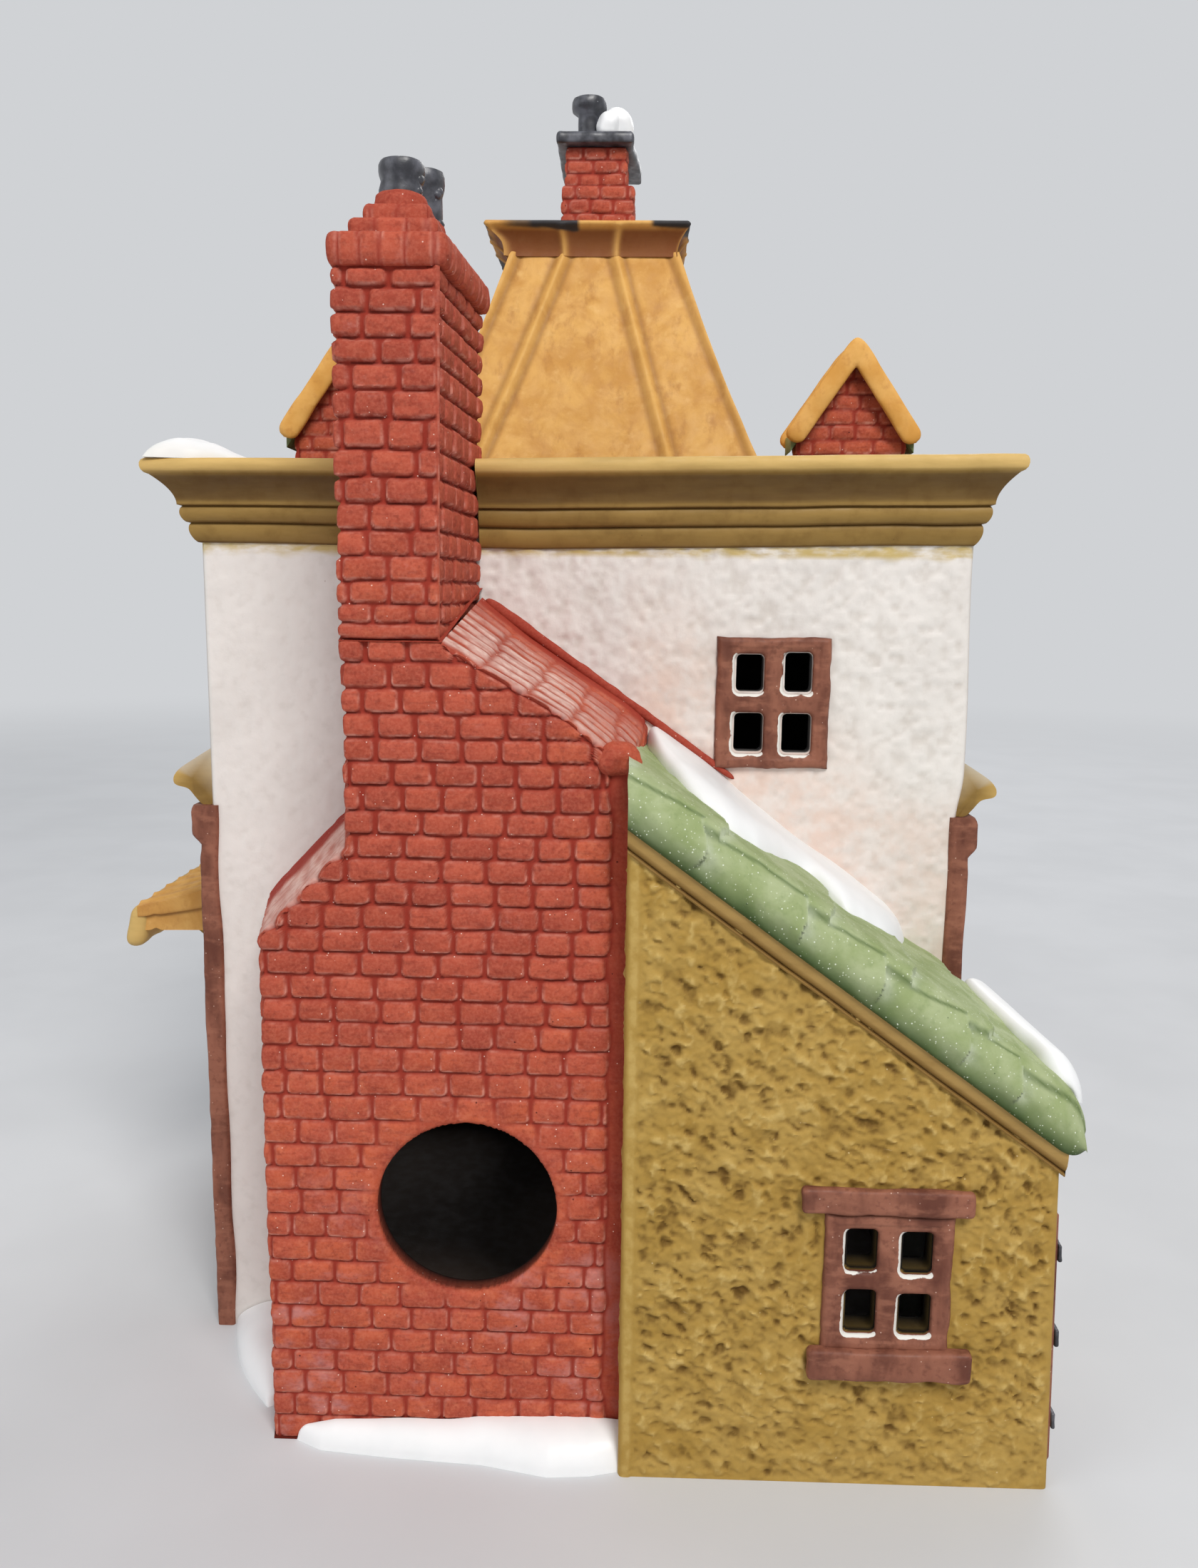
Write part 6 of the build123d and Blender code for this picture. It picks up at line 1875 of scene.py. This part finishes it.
def build_gable_body(centre, tag):
    body = Soup()
    cache = {}

    def bricks(width, seed):
        bond = Bond(np.linspace(0, 27, 10), 0, width, 5.6, seed)

        def relief(u, v):
            h, cache["values"] = bond.relief(u, v, 0.45, 0.2, 0.45)
            return h
        return relief

    def values(u, *_):
        return {**cache["values"], "warm": 0.7 + 0 * u}

    wide, high = 2 * BODY_HALF, APEX - GABLE_DROP - ROOF
    middle = (GABLE_REAR + GABLE_FRONT) / 2
    left, right = centre - BODY_HALF, centre + BODY_HALF
    for which, y, x in (("rear", GABLE_REAR, left), ("front", GABLE_FRONT, right)):
        panel(body, which, (x, y, ROOF), wide, high, 0.4, abs(y - middle), bricks(wide, 211),
              lambda u, v: (high - GABLE_SLOPE * np.abs(u - BODY_HALF) - v) * 0.56, values)
    deep = GABLE_FRONT - GABLE_REAR
    for which, x, y in (("left", left - SIDE_OUT, GABLE_FRONT), ("right", right + SIDE_OUT, GABLE_REAR)):
        panel(body, which, (x, y, ROOF), deep, high - GABLE_SLOPE * BODY_HALF, 0.4, 1.0, bricks(deep, 213),
              None, values)
    body.make(f"gable_body_{tag}_bricks", "brick", f"gable_body_{tag}", sharp=60)


def build_gable_roof(centre, tag):
    roof = Soup()
    half = GABLE_HALF - 1.6
    fall = GABLE_SLOPE * half
    ww, yy = np.meshgrid(np.linspace(-1, 1, 121), np.linspace(GABLE_REAR - 1.5, GABLE_FRONT + 1.5, 40))
    share = np.mod(np.abs(ww) * 3.2 + 0.12 * flat_noise(yy, ww * 10, 3, 222), 1)
    xx = centre + half * ww
    ridge = APEX - fall * np.sqrt(ww * ww + 0.0012)
    upper = xyz(xx, yy, ridge + 0.7 * share - 0.9 + 0.12 * flat_noise(xx, yy, 5, 221))
    lower = xyz(xx, yy, APEX - fall * np.abs(ww) - GABLE_DROP)
    roof.grid(upper, {"lip": ease(0.75, 0.97, share)})
    # Underside and edges painted darker, as painted shade
    roof.grid(lower, {"under": 0.8}, flip=True)
    for a, b, flip in edge_pairs(lower, upper, False):
        roof.grid(np.stack([a, b]), {"under": 0.4}, flip=flip)
    roof.make(f"gable_roof_{tag}_tiles", "green_tile", f"gable_roof_{tag}", sharp=50)


def build_boards(centre, tag):
    """One rounded board up both slopes, from the foot of one to the foot of the other."""
    turn = np.linspace(0, 2 * np.pi, 28, endpoint=False)[None]
    along = np.linspace(-1, 1, 150)[:, None]
    end = rounded((1 - np.abs(along)) * 24, 2.0)
    outer, inner = (np.stack([half * along, apex - GABLE_SLOPE * np.hypot(half * along, soft)], -1)
                    for half, apex, soft in BOARD_EDGES)
    wide, thick = (np.sign(f(turn)) * np.abs(f(turn)) ** 0.7 * end for f in (np.cos, np.sin))
    flat = (outer + inner) / 2 + (outer - inner) / 2 * wide[..., None]
    for place, y in (("rear", GABLE_REAR - 2.4), ("front", GABLE_FRONT + 2.4)):
        p = xyz(centre + flat[..., 0], y + 0.9 * thick, flat[..., 1])
        p = p + 0.16 * np.stack([noise(p, 3.5, 231 + k) for k in range(3)], -1)
        board = Soup().grid(p, close=True, flip=True)
        board.make(f"bargeboard_{place}_{tag}_ochre", "ochre_trim", f"bargeboard_{place}_{tag}", sharp=60)


for centre, tag in ((GABLE_RIGHT, "right"), (GABLE_LEFT, "left")):
    build_gable_body(centre, tag)
    build_gable_roof(centre, tag)
    build_boards(centre, tag)


# Hood over the side door

HOOD, BRACKET = Box("side_hood"), Box("hood_bracket_rear")
HOOD_REACH, HOOD_Y, HOOD_MIDDLE = HOOD.wide, (HOOD.near, HOOD.far), HOOD.y
HOOD_TOP, HOOD_TOP_OUT, HOOD_UNDER, HOOD_UNDER_OUT = 88.0, 79.0, BRACKET.high, HOOD.low
BRACKET_OUT, BRACKET_LOW, BRACKET_THICK = BRACKET.wide, BRACKET.low, BRACKET.deep


def build_hood():
    t, y = np.meshgrid(np.linspace(0, 1, 50), np.linspace(*HOOD_Y, 90))
    near = np.min(np.abs(y[..., None] - np.linspace(HOOD_Y[0] + 1.5, HOOD_Y[1] - 1.5, 6)), -1)
    rib = bell(near, 0.9)
    x = lerp(-HALF, -HALF - HOOD_REACH, t)
    top = lerp(HOOD_TOP, HOOD_TOP_OUT, t) - 1.0 * np.sin(np.pi * t) + 0.6 * rib
    top = top + 0.15 * flat_noise(x, y, 6, 241)
    groove = 0.5 * bell(t - 0.86, 0.03)
    low = lerp(HOOD_UNDER, HOOD_UNDER_OUT, t) + groove + 0.15 * flat_noise(x, y, 6, 242)
    upper, lower = xyz(x, y, top), xyz(x, y, low)
    # Painted highlight on the ribs, painted shadow in the groove under the lip, and painted shade on the
    # sides, deepest along the board line at the ends
    soup = Soup().grid(upper, {"light": 0.5 * rib}, flip=True)
    soup.grid(lower, {"recess": groove * 1.2})
    for a, b, flip in edge_pairs(lower, upper, True):
        share = np.linspace(0, 1, 28)[:, None]
        cheek = lerp(a[None], b[None], share[..., None])
        recess = 0.1
        if abs(a[0, 1] - a[-1, 1]) < 1:
            board = ease(0.5, 0.56, share) * ease(1.0, 0.96, share)
            rough = 0.25 * flat_noise(cheek[..., 0], cheek[..., 2], 5, 244)
            rough = rough * ease(0, 0.05, share) * ease(1, 0.95, share)
            cheek[..., 1] += np.sign(a[0, 1] - HOOD_MIDDLE) * (0.7 * board + rough)
            recess = 0.15 + 0.75 * bell(share - 0.52, 0.06) + 0 * cheek[..., 0]
        soup.grid(cheek, {"recess": recess}, flip=flip)
    soup.make("side_hood_copper", "copper_paint", "side_hood", sharp=50)
    gutter = block(Soup(), (-HALF - HOOD_REACH + 0.3, HOOD_MIDDLE, 74.4),
                   (4.2, HOOD_Y[1] - HOOD_Y[0] + 0.8, 9.0), 1.8, 0.6, wobble=0.25, seed=243, grain=5,
                   values={"light": 0.8})
    for p in gutter.points:
        p[:, 0] -= 0.2 * (78.0 - p[:, 2])
    gutter.make("hood_gutter_olive", "olive_trim", "hood_gutter", sharp=60)
    for node in ("hood_bracket_rear", "hood_bracket_front"):
        build_bracket(node, Box(node).near)


def build_bracket(node, y0):
    """A knee bracket under the hood with a hollow front."""
    low = smooth_line([(0, BRACKET_LOW), (-2.5, 60.5), (-7.5, 67.0), (-BRACKET_OUT, HOOD_UNDER_OUT)], 24)
    level = np.stack([low[:, 0], np.full(24, HOOD_UNDER)], 1)
    up = np.linspace(0, 1, 12)
    sheet = np.stack([lerp(low, level, share) for share in up])
    swell = 0.3 * np.sin(np.pi * up)[:, None] * np.sin(np.pi * np.linspace(0, 1, 24))
    bracket = Soup()
    y1 = y0 + BRACKET_THICK
    for y, flip in ((y0 - swell, True), (y1 + swell, False)):
        # Sides a little darker as painted shade, edges lighter as painted highlight
        bracket.grid(xyz(sheet[..., 0] - HALF, y, sheet[..., 1]), {"recess": 0.1}, flip=flip)
    for edge, flip in ((low, True), (level, False), (sheet[:, 0], False)):
        pair = [xyz(edge[:, 0] - HALF, y, edge[:, 1]) for y in (y0, y1)]
        bracket.grid(np.stack(pair), {"light": 0.4}, flip=flip)
    bracket.make(node + "_olive", "olive_trim", node, sharp=40)


build_hood()


def build_steps():
    for name, node, centre, size in (("side_step_stone", "side_step", (-HALF - 4.0, -7, 1.55), (8, 26, 2.9)),
                                     ("front_step_stone", "front_step", (0, DEEP + 3.0, 1.55), (28, 6, 2.9))):
        soup = block(Soup(), centre, size, 0.7, 0.6, wobble=0.18, seed=251, grain=4)
        for p in soup.points:
            p[:, 2] = np.maximum(p[:, 2], 0)
        soup.make(name, "stone_paint", node, sharp=60)


build_steps()


# Solids that show as they are

for node, material in (("base_plate", CLAY), ("roof_deck", DECK)):
    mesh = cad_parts[node].data
    mesh.materials.clear()
    mesh.materials.append(material)


# Studio

BACKDROP = (208, 210, 213)
SKY_LIGHT = 0.42
FLOOR_FADE, FLOOR_Z = (0.35, 1.5), -0.02
FLOOR_RINGS = np.array([0.0, 200.0, 500.0, 1200.0, 3000.0, 9000.0])[:, None]


def seen_rays(new, link):
    """1 where the eye looks straight, in a mirror or through glass."""
    path = new("ShaderNodeLightPath")
    mirrored, straight = new("ShaderNodeMath"), new("ShaderNodeMath")
    mirrored.operation = straight.operation = "MAXIMUM"
    link(path.outputs["Is Glossy Ray"], mirrored.inputs[0])
    link(path.outputs["Is Transmission Ray"], mirrored.inputs[1])
    link(path.outputs["Is Camera Ray"], straight.inputs[0])
    link(mirrored.outputs[0], straight.inputs[1])
    return straight.outputs[0]


def floor_paint():
    """A pale floor that fades into the backdrop far from the house."""
    p = Paint("floor_paint", roughness=0.85, specular=0.2)
    p.first(p.patches(60, 0.3, 0.7, detail=3), (206, 207, 209), (211, 212, 214))
    p.feed(p.shader.inputs["Base Color"], p.colour)
    p.bump(1.5, 0.1, 0.2, roughness=0.55)
    away = p.node("ShaderNodeVectorMath", operation="LENGTH")
    p.feed(away.inputs[0], p.place)
    far = p.ramp(away.outputs["Value"], *FLOOR_FADE)
    glow, either = p.node("ShaderNodeEmission"), p.node("ShaderNodeMixShader")
    glow.inputs["Color"].default_value = srgb(*BACKDROP)
    p.feed(either.inputs["Fac"], p.times(far, seen_rays(p.node, p.tree.links.new)))
    p.feed(either.inputs[1], p.shader.outputs["BSDF"])
    p.feed(either.inputs[2], glow.outputs["Emission"])
    p.feed(p.end.inputs["Surface"], either.outputs["Shader"])
    return p.material


def build_floor():
    angle = np.linspace(0, 2 * np.pi, 96, endpoint=False)
    disc = xyz(np.cos(angle) * FLOOR_RINGS, np.sin(angle) * FLOOR_RINGS, FLOOR_Z)
    soup = Soup().grid(disc, close=True, flip=True)
    mesh = bpy.data.meshes.new("studio_floor")
    mesh.from_pydata((np.concatenate(soup.points) * MM).tolist(), [], np.concatenate(soup.faces).tolist())
    mesh.materials.append(floor_paint())
    floor = bpy.data.objects.new("studio_floor", mesh)
    bpy.context.scene.collection.objects.link(floor)


build_floor()


def build_sky():
    """A pale backdrop to look at, and a softer sky to light by."""
    world = bpy.data.worlds.new("studio")
    bpy.context.scene.world = world
    world.use_nodes = True
    tree = world.node_tree
    tree.nodes.clear()
    new, link = tree.nodes.new, tree.links.new
    seen, lit, either = new("ShaderNodeBackground"), new("ShaderNodeBackground"), new("ShaderNodeMixShader")
    seen.inputs["Color"].default_value = srgb(*BACKDROP)
    seen.inputs["Strength"].default_value = 1.0
    lit.inputs["Color"].default_value = srgb(236, 240, 246)
    lit.inputs["Strength"].default_value = SKY_LIGHT
    link(seen_rays(new, link), either.inputs["Fac"])
    link(lit.outputs[0], either.inputs[1])
    link(seen.outputs[0], either.inputs[2])
    end = new("ShaderNodeOutputWorld")
    link(either.outputs[0], end.inputs["Surface"])


build_sky()


def lamp(name, place, target, size, power, colour=(1, 1, 1)):
    data = bpy.data.lights.new(name, "AREA")
    data.shape = "DISK"
    data.size = size
    data.energy = power
    data.color = colour
    item = bpy.data.objects.new(name, data)
    bpy.context.scene.collection.objects.link(item)
    item.location = place
    item.rotation_euler = (Vector(target) - Vector(place)).to_track_quat("-Z", "Y").to_euler()


lamp("key_lamp", (0.3, -0.84, 1.04), (0, -0.05, 0.1), 0.5, 11.6, (1.0, 0.985, 0.96))
lamp("fill_lamp", (-0.9, -0.6, 0.5), (0, -0.02, 0.1), 0.8, 2.3, (0.96, 0.98, 1.0))
lamp("rear_lamp", (0.3, 0.95, 0.9), (0, 0, 0.12), 0.8, 5.0)


# Camera at the photograph's place

PHOTO_HIGH, FOCAL, SENSOR = 2198, 1673.0, 36.0
PITCH_DOWN, TURN_LEFT, ROLL = (math.radians(a) for a in (9.1, 1.5, 0.69))
CAMERA_AT = np.array([8.9, -265.75, 144.6])


def build_camera():
    flat = math.cos(PITCH_DOWN)
    ahead = np.array([-math.sin(TURN_LEFT) * flat, math.cos(TURN_LEFT) * flat, -math.sin(PITCH_DOWN)])
    level = np.array([math.cos(TURN_LEFT), math.sin(TURN_LEFT), 0])
    right = level * math.cos(ROLL) + np.cross(level, ahead) * math.sin(ROLL)
    above = np.cross(right, ahead)
    data = bpy.data.cameras.new("camera")
    data.sensor_width = SENSOR
    data.lens = FOCAL / PHOTO_HIGH * SENSOR
    data.clip_start = 0.01
    camera = bpy.data.objects.new("camera", data)
    bpy.context.scene.collection.objects.link(camera)
    spot = CAMERA_AT * MM
    rows = [[right[k], above[k], -ahead[k], spot[k]] for k in range(3)]
    camera.matrix_world = Matrix(rows + [[0, 0, 0, 1]])
    bpy.context.scene.camera = camera


build_camera()
bpy.context.scene.view_settings.view_transform = "Standard"
